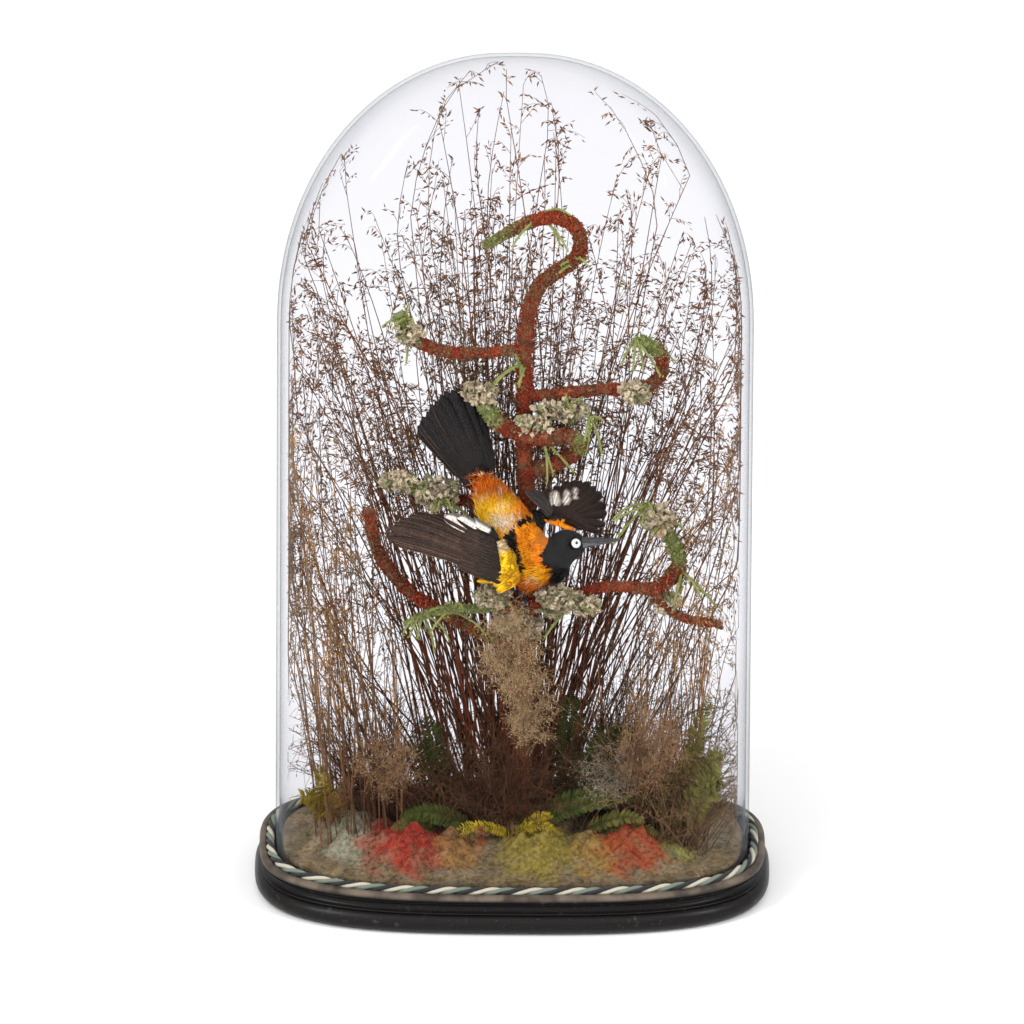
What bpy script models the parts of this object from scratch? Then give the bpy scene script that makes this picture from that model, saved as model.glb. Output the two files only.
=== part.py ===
"""A mounted troupial on a flocked wire tree, under an oval glass dome on a moulded base.

Metres, +Z up. The front faces -Y, and the origin is the middle of the base's underside.
"""

import math

import bmesh
import bpy
from mathutils import Matrix, Vector

# Small distances that keep neighbouring pieces apart.
GAP = 0.0003

# The oval plan that the base, the rope and the glass all follow.
OVAL_POWER = 3.0
OVAL_STEPS = 40

# Base: a bulging foot, a hollow cove above it and a thin lip on top.
FOOT_HALF = (0.216, 0.116)
FOOT_TOP = 0.017
COVE_HALF = (0.206, 0.105)
LIP_HALF = (0.212, 0.1105)
LIP_LOW = 0.0265
BASE_TOP = 0.035
CHANNEL_HALF = (0.2070, 0.1055)
CHANNEL_FLOOR = 0.031
GROOVE_FLOOR = 0.027
PLATEAU_HALF = (0.1949, 0.0934)

# Glass dome: straight walls, then a rounded crown.
GLASS_HALF = (0.1985, 0.097)
GLASS_WALL = 0.003
GLASS_SHOULDER = 0.510
GLASS_TOP = 0.754
CROWN_RINGS = 7

# Chenille rope round the foot of the glass.
ROPE_HALF = (0.2030, 0.1015)
ROPE_RADIUS = 0.0033

# Groundwork: a thin bed that rises in soft mounds.
GROUND_HALF = (0.1925, 0.0915)
GROUND_EDGE = 0.005
GROUND_RINGS = 7
GROUND_STEPS = 32
MOUNDS = (
    # middle x, middle y, height, spread
    (-0.085, -0.045, 0.010, 0.034),
    (0.040, -0.050, 0.009, 0.030),
    (0.105, -0.040, 0.011, 0.032),
    (-0.130, 0.010, 0.013, 0.030),
    (0.000, 0.030, 0.016, 0.050),
)

# Tree: wire under flock, one path in millimetres for each piece, and its radius.
TREE_TRUNK = ((6, 8, 34), (8, 10, 150), (12, 12, 260), (9, 12, 370), (7, 11, 450), (9, 10, 529),
              (27, 8, 552), (52, 5, 566), (56, 2, 588), (46, 0, 606), (26, -2, 611), (4, 0, 601), (-26, 2, 581))
TRUNK_RADII = (8.5, 8, 7.5, 7.2, 6.6, 6, 5.8, 5.6, 5.4, 5.2, 5, 4.5, 3)
PERCH = ((10, 12, 226), (4, 2, 246), (-14, -20, 262), (0, -31.6, 267), (14, -31.6, 268.8), (28, -31.6, 270.4),
         (42, -31.6, 272), (66, -30, 283), (92, -27, 284), (116, -20, 274), (136, -14, 286), (140, -10, 300),
         (131, -6, 318), (118, -4, 334))
PERCH_RADII = (5, 5, 4.7, 4.5, 4.5, 4.5, 4.5, 4.3, 4.2, 5, 6.2, 6, 5.4, 4)
BRANCHES = {
    "branch_loop": (((9, 10, 368), (28, 2, 379), (46, -6, 391), (58, -10, 405), (46, -13, 416), (28, -12, 410),
                     (9, -9, 412), (-8, -9, 418), (-20, -7, 430), (-30, -6, 446)), (6, 7)),
    "branch_left_high": (((8, 10, 484), (-32, 8, 478), (-66, 6, 482), (-88, 4, 496), (-97, 2, 518)), (4.5, 5)),
    "branch_left_middle": (((10, 12, 330), (-16, 14, 336), (-48, 8, 345), (-72, 2, 356), (-98, -2, 362)), (5, 4)),
    "branch_left_low": (((8, 10, 205), (-46, 6, 232), (-86, -2, 262), (-107, -8, 290), (-118, -10, 314),
                         (-121, -10, 343)), (5, 4.5)),
    "branch_left_fork": (((-5, -20, 261), (-36, -30, 262), (-60, -32, 263), (-76, -33, 258), (-91, -34, 249)),
                         (4, 2.6)),
    "branch_right_high": (((9, 12, 440), (40, 9, 441), (70, 6, 450), (96, 2, 449), (118, 0, 456), (125, 0, 472),
                           (119, -2, 490), (104, -3, 498)), (5, 5)),
    "branch_right_low": (((117, -20, 277), (126, -18, 258), (146, -16, 246), (164, -14, 244), (174, -12, 240)),
                         (4, 2.4)),
}
BRANCH_HOST = {"branch_left_fork": "branch_perch", "branch_right_low": "branch_perch"}

# Lichen clumps glued on the tree: middle and half size, in millimetres.
LICHEN = (
    ((57, -36, 270), (14, 9, 8)),
    ((-66, 0, 356), (18, 10, 12)),
    ((40, 3, 431), (24, 9, 8)),
    ((-30, -6, 449), (12, 9, 9)),
    ((120, -8, 336), (13, 9, 13)),
    ((8, -6, 234), (16, 10, 9)),
)

# Dried grass that stands behind the tree.
GRASS_STEMS = 12
GRASS_RADIUS = 0.0009
GRASS_FOOT = (0.030, 0.056)
GRASS_SPREAD = 0.300
BRUSHES = {
    # middle x, middle y, top z, half width, half depth
    "brush_left": (-0.112, 0.040, 0.165, 0.030, 0.020),
    "brush_right": (0.112, 0.030, 0.190, 0.038, 0.022),
    "brush_middle": (-0.050, -0.010, 0.120, 0.020, 0.014),
}

# Bird, in millimetres. The breast is low and forward, and the tail is held high behind it.
TAIL_ROOT = (-26, -14, 372)
BREAST = (14, -42, 309)
TRUNK_STEPS = ((-0.06, 7), (0.1, 13), (0.32, 18.5), (0.58, 22), (0.85, 25), (1.06, 23.5), (1.2, 14))
NECK = (((16, -43, 315), 20), ((25, -46.5, 318), 20.5), ((34, -49, 317), 18.5), ((43, -50, 327), 13))
HEAD_MIDDLE = (43.5, -50, 330.5)
HEAD_HALF = (18, 12.8, 14.6)
BILL_BASE = (58, -52.5, 334)
BILL_TIP = (90.8, -58, 340.8)
BILL_RADIUS = 4.6
EYE_RADIUS = 4.5
EYE_FORWARD = 10.2
EYE_UP = 0.6
EYE_OUT = 8.7
FEATHER_PLATE = 2.2
# Root on the right, root on the left, then the tips on the right and on the left.
TAIL_CORNERS = ((-35, -16, 370), (-16, -16, 377), (-82, 4, 416), (-36, 12, 447))
LEG_TOPS = {"leg_right": (8, -40, 296), "leg_left": (22, -37, 298)}
LEG_FEET = {"leg_right": 9, "leg_left": 27}
LEG_RADIUS = 1.5
TOE_RADIUS = 1.15
TOE_CLEAR = 0.9
TOE_STEPS = 9
PERCH_DEPTH = -31.6


def clear_scene():
    for obj in list(bpy.data.objects):
        bpy.data.objects.remove(obj, do_unlink=True)


def new_collection(name):
    made = bpy.data.collections.new(name)
    bpy.context.scene.collection.children.link(made)
    return made


def material(name, colour, roughness, alpha=1.0):
    made = bpy.data.materials.get(name)
    if made:
        return made
    made = bpy.data.materials.new(name)
    made.use_nodes = True
    shader = made.node_tree.nodes["Principled BSDF"]
    shader.inputs["Base Color"].default_value = (*colour, 1.0)
    shader.inputs["Roughness"].default_value = roughness
    shader.inputs["Alpha"].default_value = alpha
    return made


def add_object(name, mesh, look, place=(0, 0, 0)):
    """Puts a mesh in the scene as a named piece of the object."""
    obj = bpy.data.objects.new(name, mesh)
    obj.location = place
    mesh.materials.clear()
    mesh.materials.append(look)
    pieces.objects.link(obj)
    return obj


def add_cutter(name, mesh, place=(0, 0, 0)):
    obj = bpy.data.objects.new(name, mesh)
    obj.location = place
    obj.hide_render = True
    obj.display_type = "WIRE"
    cutters.objects.link(obj)
    return obj


def boolean(obj, other, operation):
    step = obj.modifiers.new(other.name, "BOOLEAN")
    step.operation = operation
    step.solver = "EXACT"
    step.object = other


def curve_mesh(curve):
    """The closed mesh that a curve with a bevel or an extrusion makes."""
    holder = bpy.data.objects.new("holder", curve)
    bpy.context.scene.collection.objects.link(holder)
    graph = bpy.context.evaluated_depsgraph_get()
    mesh = bpy.data.meshes.new_from_object(holder.evaluated_get(graph))
    bpy.data.objects.remove(holder, do_unlink=True)
    bpy.data.curves.remove(curve)
    form = bmesh.new()
    form.from_mesh(mesh)
    bmesh.ops.remove_doubles(form, verts=form.verts, dist=1e-6)
    bmesh.ops.recalc_face_normals(form, faces=form.faces)
    form.to_mesh(mesh)
    form.free()
    return mesh


def oval(half, steps=OVAL_STEPS):
    """Points round a superellipse of the given half sizes."""
    points = []
    for step in range(steps):
        turn = 2 * math.pi * step / steps
        across = math.cos(turn)
        along = math.sin(turn)
        x = half[0] * math.copysign(abs(across) ** (2 / OVAL_POWER), across)
        y = half[1] * math.copysign(abs(along) ** (2 / OVAL_POWER), along)
        points.append((x, y))
    return points


def outline_mesh(points, low, high, rounding=0.0, rounding_steps=0):
    """A slab between two heights with this outline. Rounding makes its edge bulge."""
    curve = bpy.data.curves.new("outline", "CURVE")
    curve.dimensions = "2D"
    curve.fill_mode = "BOTH"
    curve.extrude = (high - low) / 2 - rounding
    curve.bevel_depth = rounding
    curve.bevel_resolution = rounding_steps
    curve.offset = -rounding
    spline = curve.splines.new("POLY")
    spline.points.add(len(points) - 1)
    for point, (x, y) in zip(spline.points, points):
        point.co = (x, y, 0, 1)
    spline.use_cyclic_u = True
    mesh = curve_mesh(curve)
    mesh.transform(Matrix.Translation((0, 0, (low + high) / 2)))
    return mesh


def tube_mesh(path, radii, sides_step=2, smooth=2, cyclic=False):
    """A round tube in millimetres along a smooth path, relative to the path's first point."""
    curve = bpy.data.curves.new("tube", "CURVE")
    curve.dimensions = "3D"
    curve.bevel_depth = 0.001
    curve.bevel_resolution = sides_step
    curve.resolution_u = smooth
    curve.use_fill_caps = not cyclic
    spline = curve.splines.new("NURBS")
    spline.points.add(len(path) - 1)
    start = Vector(path[0])
    for point, place, radius in zip(spline.points, path, radii):
        point.co = (*((Vector(place) - start) * 0.001), 1)
        point.radius = radius
    spline.order_u = min(4, len(path))
    spline.use_endpoint_u = not cyclic
    spline.use_cyclic_u = cyclic
    return curve_mesh(curve)


def metres(place):
    return Vector(place) * 0.001


def tube(name, path, radii, look, sides_step=2, smooth=2):
    return add_object(name, tube_mesh(path, radii, sides_step, smooth), look, metres(path[0]))


def socket(name, path, radii, hosts, sides_step=2, smooth=2):
    """Opens a hole in each host for a tube that enters it, a little wider than the tube."""
    start = Vector(path[0])
    back = (start - Vector(path[1])).normalized() * GAP * 1000
    longer = [start + back, *path[1:]]
    wider = [radius + GAP * 1000 for radius in radii]
    cutter = add_cutter(name + "_socket", tube_mesh(longer, wider, sides_step, smooth), metres(longer[0]))
    for host in hosts:
        boolean(host, cutter, "DIFFERENCE")


def taper(count, first, last):
    return [first + (last - first) * step / (count - 1) for step in range(count)]


def ellipsoid_mesh(half, turn=None, segments=16, rings=10):
    form = bmesh.new()
    bmesh.ops.create_uvsphere(form, u_segments=segments, v_segments=rings, radius=1.0)
    bmesh.ops.scale(form, verts=form.verts, vec=half)
    if turn:
        bmesh.ops.transform(form, verts=form.verts, matrix=turn)
    mesh = bpy.data.meshes.new("ellipsoid")
    form.to_mesh(mesh)
    form.free()
    return mesh


def facing(forward, up):
    """A rotation that turns +X to forward and keeps +Z as near to up as it can."""
    along = Vector(forward).normalized()
    side = Vector(up).cross(along).normalized()
    top = along.cross(side)
    return Matrix((along, side, top)).transposed().to_4x4()


def loft_mesh(rings, close_low=True, close_high=True):
    """Joins rings of equal length, the lowest first."""
    form = bmesh.new()
    rows = [[form.verts.new(point) for point in ring] for ring in rings]
    count = len(rows[0])
    for below, above in zip(rows, rows[1:]):
        for step in range(count):
            after = (step + 1) % count
            form.faces.new((below[step], below[after], above[after], above[step]))
    if close_low:
        form.faces.new(list(reversed(rows[0])))
    if close_high:
        form.faces.new(rows[-1])
    bmesh.ops.recalc_face_normals(form, faces=form.faces)
    mesh = bpy.data.meshes.new("loft")
    form.to_mesh(mesh)
    form.free()
    return mesh


def build_base():
    """The foot, cove and lip are three slabs joined. A channel takes the rope, and a groove the glass."""
    foot = outline_mesh(oval(FOOT_HALF), 0, FOOT_TOP, FOOT_TOP * 0.46, 3)
    base = add_object("base_plinth", foot, ebonised)
    cove = add_cutter("cove", outline_mesh(oval(COVE_HALF), 0.004, 0.030))
    boolean(base, cove, "UNION")
    lip = add_cutter("lip", outline_mesh(oval(LIP_HALF), LIP_LOW, BASE_TOP, 0.0035, 2))
    boolean(base, lip, "UNION")
    channel = add_cutter("channel", outline_mesh(oval(CHANNEL_HALF), CHANNEL_FLOOR, BASE_TOP + 0.01))
    boolean(base, channel, "DIFFERENCE")
    groove_half = (GLASS_HALF[0] + GAP, GLASS_HALF[1] + GAP)
    groove = add_cutter("groove", outline_mesh(oval(groove_half), GROOVE_FLOOR, BASE_TOP + 0.01))
    boolean(base, groove, "DIFFERENCE")
    plateau = add_cutter("plateau", outline_mesh(oval(PLATEAU_HALF), GROOVE_FLOOR - 0.005, CHANNEL_FLOOR))
    boolean(base, plateau, "UNION")
    return base


def build_glass():
    """Rings rise up the straight wall and close in over the crown. Solidify gives the wall its thickness."""
    rings = []
    for height in (GROOVE_FLOOR + GAP, GLASS_SHOULDER * 0.5, GLASS_SHOULDER):
        rings.append([(x, y, height) for x, y in oval(GLASS_HALF)])
    for step in range(1, CROWN_RINGS):
        lean = math.pi / 2 * step / CROWN_RINGS
        height = GLASS_SHOULDER + (GLASS_TOP - GLASS_SHOULDER) * math.sin(lean)
        shrink = math.cos(lean)
        rings.append([(x * shrink, y * shrink, height) for x, y in oval(GLASS_HALF)])
    mesh = loft_mesh(rings, close_low=False, close_high=False)
    form = bmesh.new()
    form.from_mesh(mesh)
    form.verts.ensure_lookup_table()
    last = [form.verts[index] for index in range(len(form.verts) - OVAL_STEPS, len(form.verts))]
    crown = form.verts.new((0, 0, GLASS_TOP))
    for step in range(OVAL_STEPS):
        form.faces.new((last[step], last[(step + 1) % OVAL_STEPS], crown))
    bmesh.ops.recalc_face_normals(form, faces=form.faces)
    form.to_mesh(mesh)
    form.free()
    glass = add_object("dome_glass", mesh, clear_glass)
    wall = glass.modifiers.new("wall", "SOLIDIFY")
    wall.thickness = GLASS_WALL
    wall.offset = -1
    wall.use_even_offset = True
    return glass


def build_rope():
    points = oval(ROPE_HALF, 48)
    height = CHANNEL_FLOOR + ROPE_RADIUS + GAP
    path = [(x * 1000, y * 1000, height * 1000) for x, y in points]
    mesh = tube_mesh(path, [ROPE_RADIUS * 1000] * len(path), 1, 1, cyclic=True)
    return add_object("base_rope", mesh, chenille, metres(path[0]))


def ground_height(x, y):
    """Height of the groundwork's surface above its own underside."""
    edge = (abs(x) / GROUND_HALF[0]) ** OVAL_POWER + (abs(y) / GROUND_HALF[1]) ** OVAL_POWER
    rise = 0.0
    for middle_x, middle_y, height, spread in MOUNDS:
        away = ((x - middle_x) ** 2 + (y - middle_y) ** 2) / spread ** 2
        rise += height * math.exp(-away)
    return GROUND_EDGE + rise * max(0.0, 1 - edge ** 2)


def build_ground():
    floor = CHANNEL_FLOOR + GAP
    rings = [[(x, y, floor) for x, y in oval(GROUND_HALF, GROUND_STEPS)]]
    for ring in range(GROUND_RINGS):
        share = 1 - ring / GROUND_RINGS
        row = []
        for x, y in oval(GROUND_HALF, GROUND_STEPS):
            row.append((x * share, y * share, floor + ground_height(x * share, y * share)))
        rings.append(row)
    return add_object("groundwork", loft_mesh(rings), earth)


def build_tree(ground):
    trunk = tube("tree_trunk", TREE_TRUNK, TRUNK_RADII, flock, 2)
    socket("tree_trunk", TREE_TRUNK, TRUNK_RADII, [ground], 2)
    wood = {"tree_trunk": trunk}
    perch = tube("branch_perch", PERCH, PERCH_RADII, flock)
    wood["branch_perch"] = perch
    socket("branch_perch", PERCH, PERCH_RADII, [trunk])
    for name, (path, ends) in BRANCHES.items():
        radii = taper(len(path), *ends)
        wood[name] = tube(name, path, radii, flock)
        socket(name, path, radii, [wood[BRANCH_HOST.get(name, "tree_trunk")]])
    return wood


def build_lichen(wood):
    """Each clump is cut clear of every branch that it sits on."""
    for number, (middle, half) in enumerate(LICHEN, 1):
        clump = add_object(f"lichen_{number}", ellipsoid_mesh(metres(half), None, 9, 6), lichen, metres(middle))
        for name, obj in wood.items():
            path, radii = wood_paths()[name]
            reach = max(half) + max(radii)
            near = [place for place in fine(path) if (Vector(place) - Vector(middle)).length < reach + 4]
            if not near:
                continue
            wider = [radius + 0.4 for radius in radii]
            cutter = add_cutter(f"{clump.name}_{name}", tube_mesh(path, wider, 2), metres(path[0]))
            boolean(clump, cutter, "DIFFERENCE")


def fine(path):
    """The path's points with nine more between each two."""
    points = []
    for first, second in zip(path, path[1:]):
        for step in range(10):
            points.append(Vector(first).lerp(Vector(second), step / 10))
    return points


def wood_paths():
    paths = {"tree_trunk": (TREE_TRUNK, TRUNK_RADII), "branch_perch": (PERCH, PERCH_RADII)}
    for name, (path, ends) in BRANCHES.items():
        paths[name] = (path, taper(len(path), *ends))
    return paths


def build_grass(ground):
    """Stems rise from the back of the groundwork and lean out in a fan. Brushes stand for the dense tufts."""
    for number in range(GRASS_STEMS):
        share = number / (GRASS_STEMS - 1) * 2 - 1
        foot_x = GRASS_FOOT[0] * share * 2.2
        foot = (foot_x * 1000, GRASS_FOOT[1] * 1000, 38)
        lean_x = GRASS_SPREAD / 2 * share * 1000
        top = 560 - 190 * share * share + 40 * math.sin(number * 2.4)
        depth = 56 + 10 * math.sin(number * 1.7)
        path = (foot, (foot[0] + lean_x * 0.2, depth, top * 0.35), (lean_x * 0.8, depth, top * 0.75),
                (lean_x, depth - 6, top))
        radii = taper(len(path), GRASS_RADIUS * 1500, GRASS_RADIUS * 800)
        tube(f"grass_stem_{number + 1:02d}", path, radii, straw, 1)
        socket(f"grass_stem_{number + 1:02d}", path, radii, [ground], 1)
    for name, (x, y, top, half_width, half_depth) in BRUSHES.items():
        low = (CHANNEL_FLOOR + GAP + ground_height(x, y)) * 1000 - 3
        rise = top * 1000 - low
        path = [(x * 1000, y * 1000, low + rise * share) for share in (0, 0.4, 0.8, 1)]
        wide = half_width * 1000
        radii = (wide * 0.35, wide * 0.9, wide, wide * 0.3)
        mesh = tube_mesh(path, radii, 2)
        mesh.transform(Matrix.Diagonal((1, half_depth / half_width, 1, 1)))
        add_object(name, mesh, straw, metres(path[0]))
        wider = tube_mesh(path, [radius + 0.4 for radius in radii], 2)
        wider.transform(Matrix.Diagonal((1, half_depth / half_width, 1, 1)))
        boolean(ground, add_cutter(name + "_socket", wider, metres(path[0]) - Vector((0, 0, GAP))), "DIFFERENCE")


def build_trunk():
    along = Vector(BREAST) - Vector(TAIL_ROOT)
    path = [Vector(TAIL_ROOT) + along * share for share, _ in TRUNK_STEPS]
    radii = [radius for _, radius in TRUNK_STEPS]
    return tube("bird_trunk", path, radii, orange_feather, 4)


def child(obj, parent):
    """Hangs a piece on its parent without moving it."""
    obj.parent = parent
    obj.location = obj.location - parent_place(parent)


def parent_place(obj):
    place = Vector(obj.location)
    while obj.parent:
        obj = obj.parent
        place += Vector(obj.location)
    return place


def build_head(trunk):
    path = [place for place, _ in NECK]
    radii = [radius for _, radius in NECK]
    neck = tube("bird_neck", path, radii, orange_feather, 4)
    socket("bird_neck", path, radii, [trunk], 4)
    forward = Vector(BILL_TIP) - Vector(HEAD_MIDDLE)
    turn = facing(forward, (0, 0.4226, 0.9063))
    head = add_object("bird_head", ellipsoid_mesh(metres(HEAD_HALF), turn, 18, 12), black_feather, metres(HEAD_MIDDLE))
    head_gap = [size + GAP * 1000 for size in HEAD_HALF]
    hollow = add_cutter("bird_head_socket", ellipsoid_mesh(metres(head_gap), turn, 18, 12), metres(HEAD_MIDDLE))
    boolean(neck, hollow, "DIFFERENCE")
    boolean(trunk, hollow, "DIFFERENCE")
    child(head, trunk)
    child(neck, trunk)
    build_bill(head)
    build_eyes(head, turn)
    return neck, head


def build_bill(head):
    """Two slender cones lie along one line, a hair apart, with the lower one shorter."""
    base = Vector(BILL_BASE)
    along = Vector(BILL_TIP) - base
    turn = facing(along, (0, 0.4226, 0.9063))
    up = turn.to_3x3() @ Vector((0, 0, 1))
    for name, side, length in (("bill_upper", 1, 1.0), ("bill_lower", -1, 0.94)):
        offset = up * side * (BILL_RADIUS * 0.46)
        tip = base + along * length + up * side * 0.75
        path = (base + offset, base.lerp(tip, 0.35) + offset * 0.72, base.lerp(tip, 0.7) + offset * 0.4, tip)
        radii = (BILL_RADIUS * 0.62, BILL_RADIUS * 0.5, BILL_RADIUS * 0.32, 0.45)
        half = tube(name, path, radii, horn)
        socket(name, path, radii, [head])
        keep = outline_mesh([(-0.1, -0.1), (0.1, -0.1), (0.1, 0.1), (-0.1, 0.1)], GAP / 2, 0.05)
        if side < 0:
            keep.transform(Matrix.Translation((0, 0, -0.05 - GAP / 2)))
        keep.transform(turn)
        boolean(half, add_cutter(name + "_half", keep, metres(base)), "INTERSECT")
        child(half, head)


def build_eyes(head, turn):
    for name, side in (("eye_right", -1), ("eye_left", 1)):
        place = metres(HEAD_MIDDLE) + turn.to_3x3() @ metres((EYE_FORWARD, EYE_OUT * side, EYE_UP))
        size = EYE_RADIUS / 1000
        eye = add_object(name, ellipsoid_mesh((size, size, size), None, 12, 8), glass_eye, place)
        wide = size + GAP
        boolean(head, add_cutter(name + "_socket", ellipsoid_mesh((wide, wide, wide), None, 12, 8), place), "DIFFERENCE")
        child(eye, head)


def fan_outline(root_inner, tip_lead, tip_trail, feathers, bulge):
    """The edge of a fan of feathers, from the wrist at the origin round the tips and back to the inner root."""
    points = [Vector((0, 0))]
    middle = root_inner / 2
    steps = feathers * 2 - 1
    for step in range(steps):
        share = step / (steps - 1)
        tip = tip_lead.lerp(tip_trail, share)
        tip += (tip - middle).normalized() * bulge * math.sin(math.pi * share)
        if step % 2:
            tip -= (tip - middle) * 0.045
        points.append(tip)
    points.append(root_inner)
    return points


def feather_plate(name, wrist, inner, tip_lead, tip_trail, feathers, bulge, look, hosts):
    """A thin fan in the plane of its wrist and its two outer tips. It is placed by location and rotation."""
    origin = Vector(wrist)
    along = (Vector(tip_lead) - origin).normalized()
    normal = along.cross(Vector(tip_trail) - origin).normalized()
    turn = facing(along, normal)
    back = turn.to_3x3().transposed()
    flat = [(back @ (Vector(place) - origin)).to_2d() for place in (inner, tip_lead, tip_trail)]
    outline = [(x * 0.001, y * 0.001) for x, y in fan_outline(*flat, feathers, bulge)]
    half = FEATHER_PLATE / 2000
    plate = add_object(name, outline_mesh(outline, -half, half), look, metres(wrist))
    plate.rotation_euler = turn.to_euler()
    for host in hosts:
        cutter = add_cutter(f"{name}_slot_{host.name}", outline_mesh(outline, -half - GAP, half + GAP), metres(wrist))
        cutter.rotation_euler = turn.to_euler()
        boolean(host, cutter, "DIFFERENCE")
    return plate


def build_wings(trunk, neck):
    """Each wing is an arm covered in small feathers and a fan of flight feathers that the arm's rear edge holds."""
    arms = {
        "right": ((4, -52, 326), (-4, -61, 318), (0, -66, 306)),
        "left": ((18, -32, 332), (15, -20, 343), (28, -15, 343), (43, -13, 337)),
    }
    fans = {
        "right": ((0, -66, 305), (-13, -51, 333), (-106, -48, 340), (-84, -34, 347), 9, 4),
        "left": ((42, -14, 337), (16, -18, 346), (72, 2, 320), (42, 46, 350), 9, 10),
    }
    for side in ("right", "left"):
        path = arms[side]
        radii = taper(len(path), 7, 4.5)
        arm = tube(f"wing_arm_{side}", path, radii, black_feather)
        socket(f"wing_arm_{side}", path, radii, [trunk, neck])
        plate = feather_plate(f"wing_{side}", *fans[side], wing_feather, [arm, trunk, neck])
        child(plate, trunk)
        child(arm, trunk)


def build_tail(trunk):
    tail = feather_plate("tail", *TAIL_CORNERS, 6, 4, black_feather, [trunk])
    child(tail, trunk)


def toe_arc(middle, reach, start, end):
    """A toe that curls round the perch, between two angles about the perch's own line."""
    return [middle + Vector((0, math.cos(angle) * reach, math.sin(angle) * reach))
            for angle in taper(TOE_STEPS, start, end)]


def build_legs(trunk, neck):
    for name, top in LEG_TOPS.items():
        foot_x = LEG_FEET[name]
        height = perch_height(foot_x)
        grip = Vector((foot_x, PERCH_DEPTH, height))
        reach = PERCH_RADII[4] + TOE_RADIUS + TOE_CLEAR
        heel = grip + Vector((0, 0.5, reach))
        path = (Vector(top), Vector(top).lerp(heel, 0.5) + Vector((-1, 3, 0)), heel)
        radii = (LEG_RADIUS + 1, LEG_RADIUS, LEG_RADIUS)
        leg = tube(name, path, radii, horn)
        socket(name, path, radii, [trunk, neck])
        child(leg, trunk)
        for toe, (slide, start, end) in enumerate(((-3, 75, 235), (0, -35, 245), (3, 75, 235))):
            arc = toe_arc(grip, reach, math.radians(start), math.radians(end))
            spread = taper(TOE_STEPS, 0.1, 1.2)
            arc = [place + Vector((slide * share, 0, 0)) for place, share in zip(arc, spread)]
            radii = [TOE_RADIUS * 0.6, *[TOE_RADIUS] * (TOE_STEPS - 2), TOE_RADIUS * 0.5]
            mesh = tube_mesh(arc, radii, 1, 1)
            boolean(leg, add_cutter(f"{name}_toe_{toe}", mesh, metres(arc[0])), "UNION")


def perch_height(x):
    """Height of the perch's line where the feet hold it."""
    for first, second in zip(PERCH[3:7], PERCH[4:7]):
        if first[0] <= x <= second[0]:
            share = (x - first[0]) / (second[0] - first[0])
            return first[2] + (second[2] - first[2]) * share
    return PERCH[3][2]


clear_scene()
pieces = new_collection("domed_troupial")
cutters = new_collection("cutters")
cutters.hide_render = True
ebonised = material("ebonised_wood", (0.02, 0.018, 0.017), 0.35)
chenille = material("chenille", (0.45, 0.43, 0.34), 0.9)
clear_glass = material("clear_glass", (0.9, 0.95, 0.95), 0.05, 0.2)
earth = material("groundwork", (0.36, 0.30, 0.22), 0.95)
flock = material("flock", (0.34, 0.10, 0.05), 0.95)
lichen = material("lichen", (0.62, 0.55, 0.40), 0.95)
straw = material("straw", (0.33, 0.19, 0.10), 0.8)
orange_feather = material("orange_feather", (0.85, 0.28, 0.02), 0.7)
black_feather = material("black_feather", (0.03, 0.027, 0.027), 0.6)
wing_feather = material("wing_feather", (0.07, 0.05, 0.04), 0.6)
horn = material("horn", (0.07, 0.07, 0.08), 0.4)
glass_eye = material("glass_eye", (0.85, 0.85, 0.82), 0.1)

build_base()
build_glass()
build_rope()
groundwork = build_ground()
tree = build_tree(groundwork)
build_lichen(tree)
build_grass(groundwork)
bird_trunk = build_trunk()
bird_neck, bird_head = build_head(bird_trunk)
build_wings(bird_trunk, bird_neck)
build_tail(bird_trunk)
build_legs(bird_trunk, bird_neck)
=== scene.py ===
# %% [markdown]
# # A mounted troupial under an oval glass dome
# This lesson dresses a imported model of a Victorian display: a black and orange songbird with its
# wings spread, on a wire tree covered in coloured flock. Dried grasses fill the space behind it,
# and a tall oval dome stands round it all in the groove of a black base.
# Everything is in metres. The front faces -Y and the ground is at Z = 0.

import math

import bmesh
import bpy
import numpy as np
from mathutils import Matrix, Vector


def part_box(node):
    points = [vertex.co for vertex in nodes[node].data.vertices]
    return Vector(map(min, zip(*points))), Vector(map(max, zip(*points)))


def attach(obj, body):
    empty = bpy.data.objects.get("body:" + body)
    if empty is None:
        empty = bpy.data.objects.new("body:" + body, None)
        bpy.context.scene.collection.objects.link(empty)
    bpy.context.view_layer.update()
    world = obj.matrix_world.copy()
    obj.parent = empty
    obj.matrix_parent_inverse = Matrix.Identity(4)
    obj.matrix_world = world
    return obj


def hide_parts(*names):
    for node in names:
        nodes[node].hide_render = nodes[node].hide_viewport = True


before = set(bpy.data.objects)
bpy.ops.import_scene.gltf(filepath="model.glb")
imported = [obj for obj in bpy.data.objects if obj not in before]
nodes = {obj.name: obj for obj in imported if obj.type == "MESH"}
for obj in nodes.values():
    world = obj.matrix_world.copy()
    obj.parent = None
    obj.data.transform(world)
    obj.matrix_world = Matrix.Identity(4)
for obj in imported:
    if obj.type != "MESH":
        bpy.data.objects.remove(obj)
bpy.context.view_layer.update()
chance = np.random.default_rng(18)
MM = 0.001
print("the frame holds", len(nodes), "nodes")

# %% [markdown]
# ## Sums on sockets
# A material is a small chain of sums on colours and numbers. Blender draws these as nodes. Here one
# class wraps a socket, so that `1 - mask * 2` adds the Math nodes by itself. A second class is
# a finish: a material with its Principled shader, and a method that adds any other node.

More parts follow.
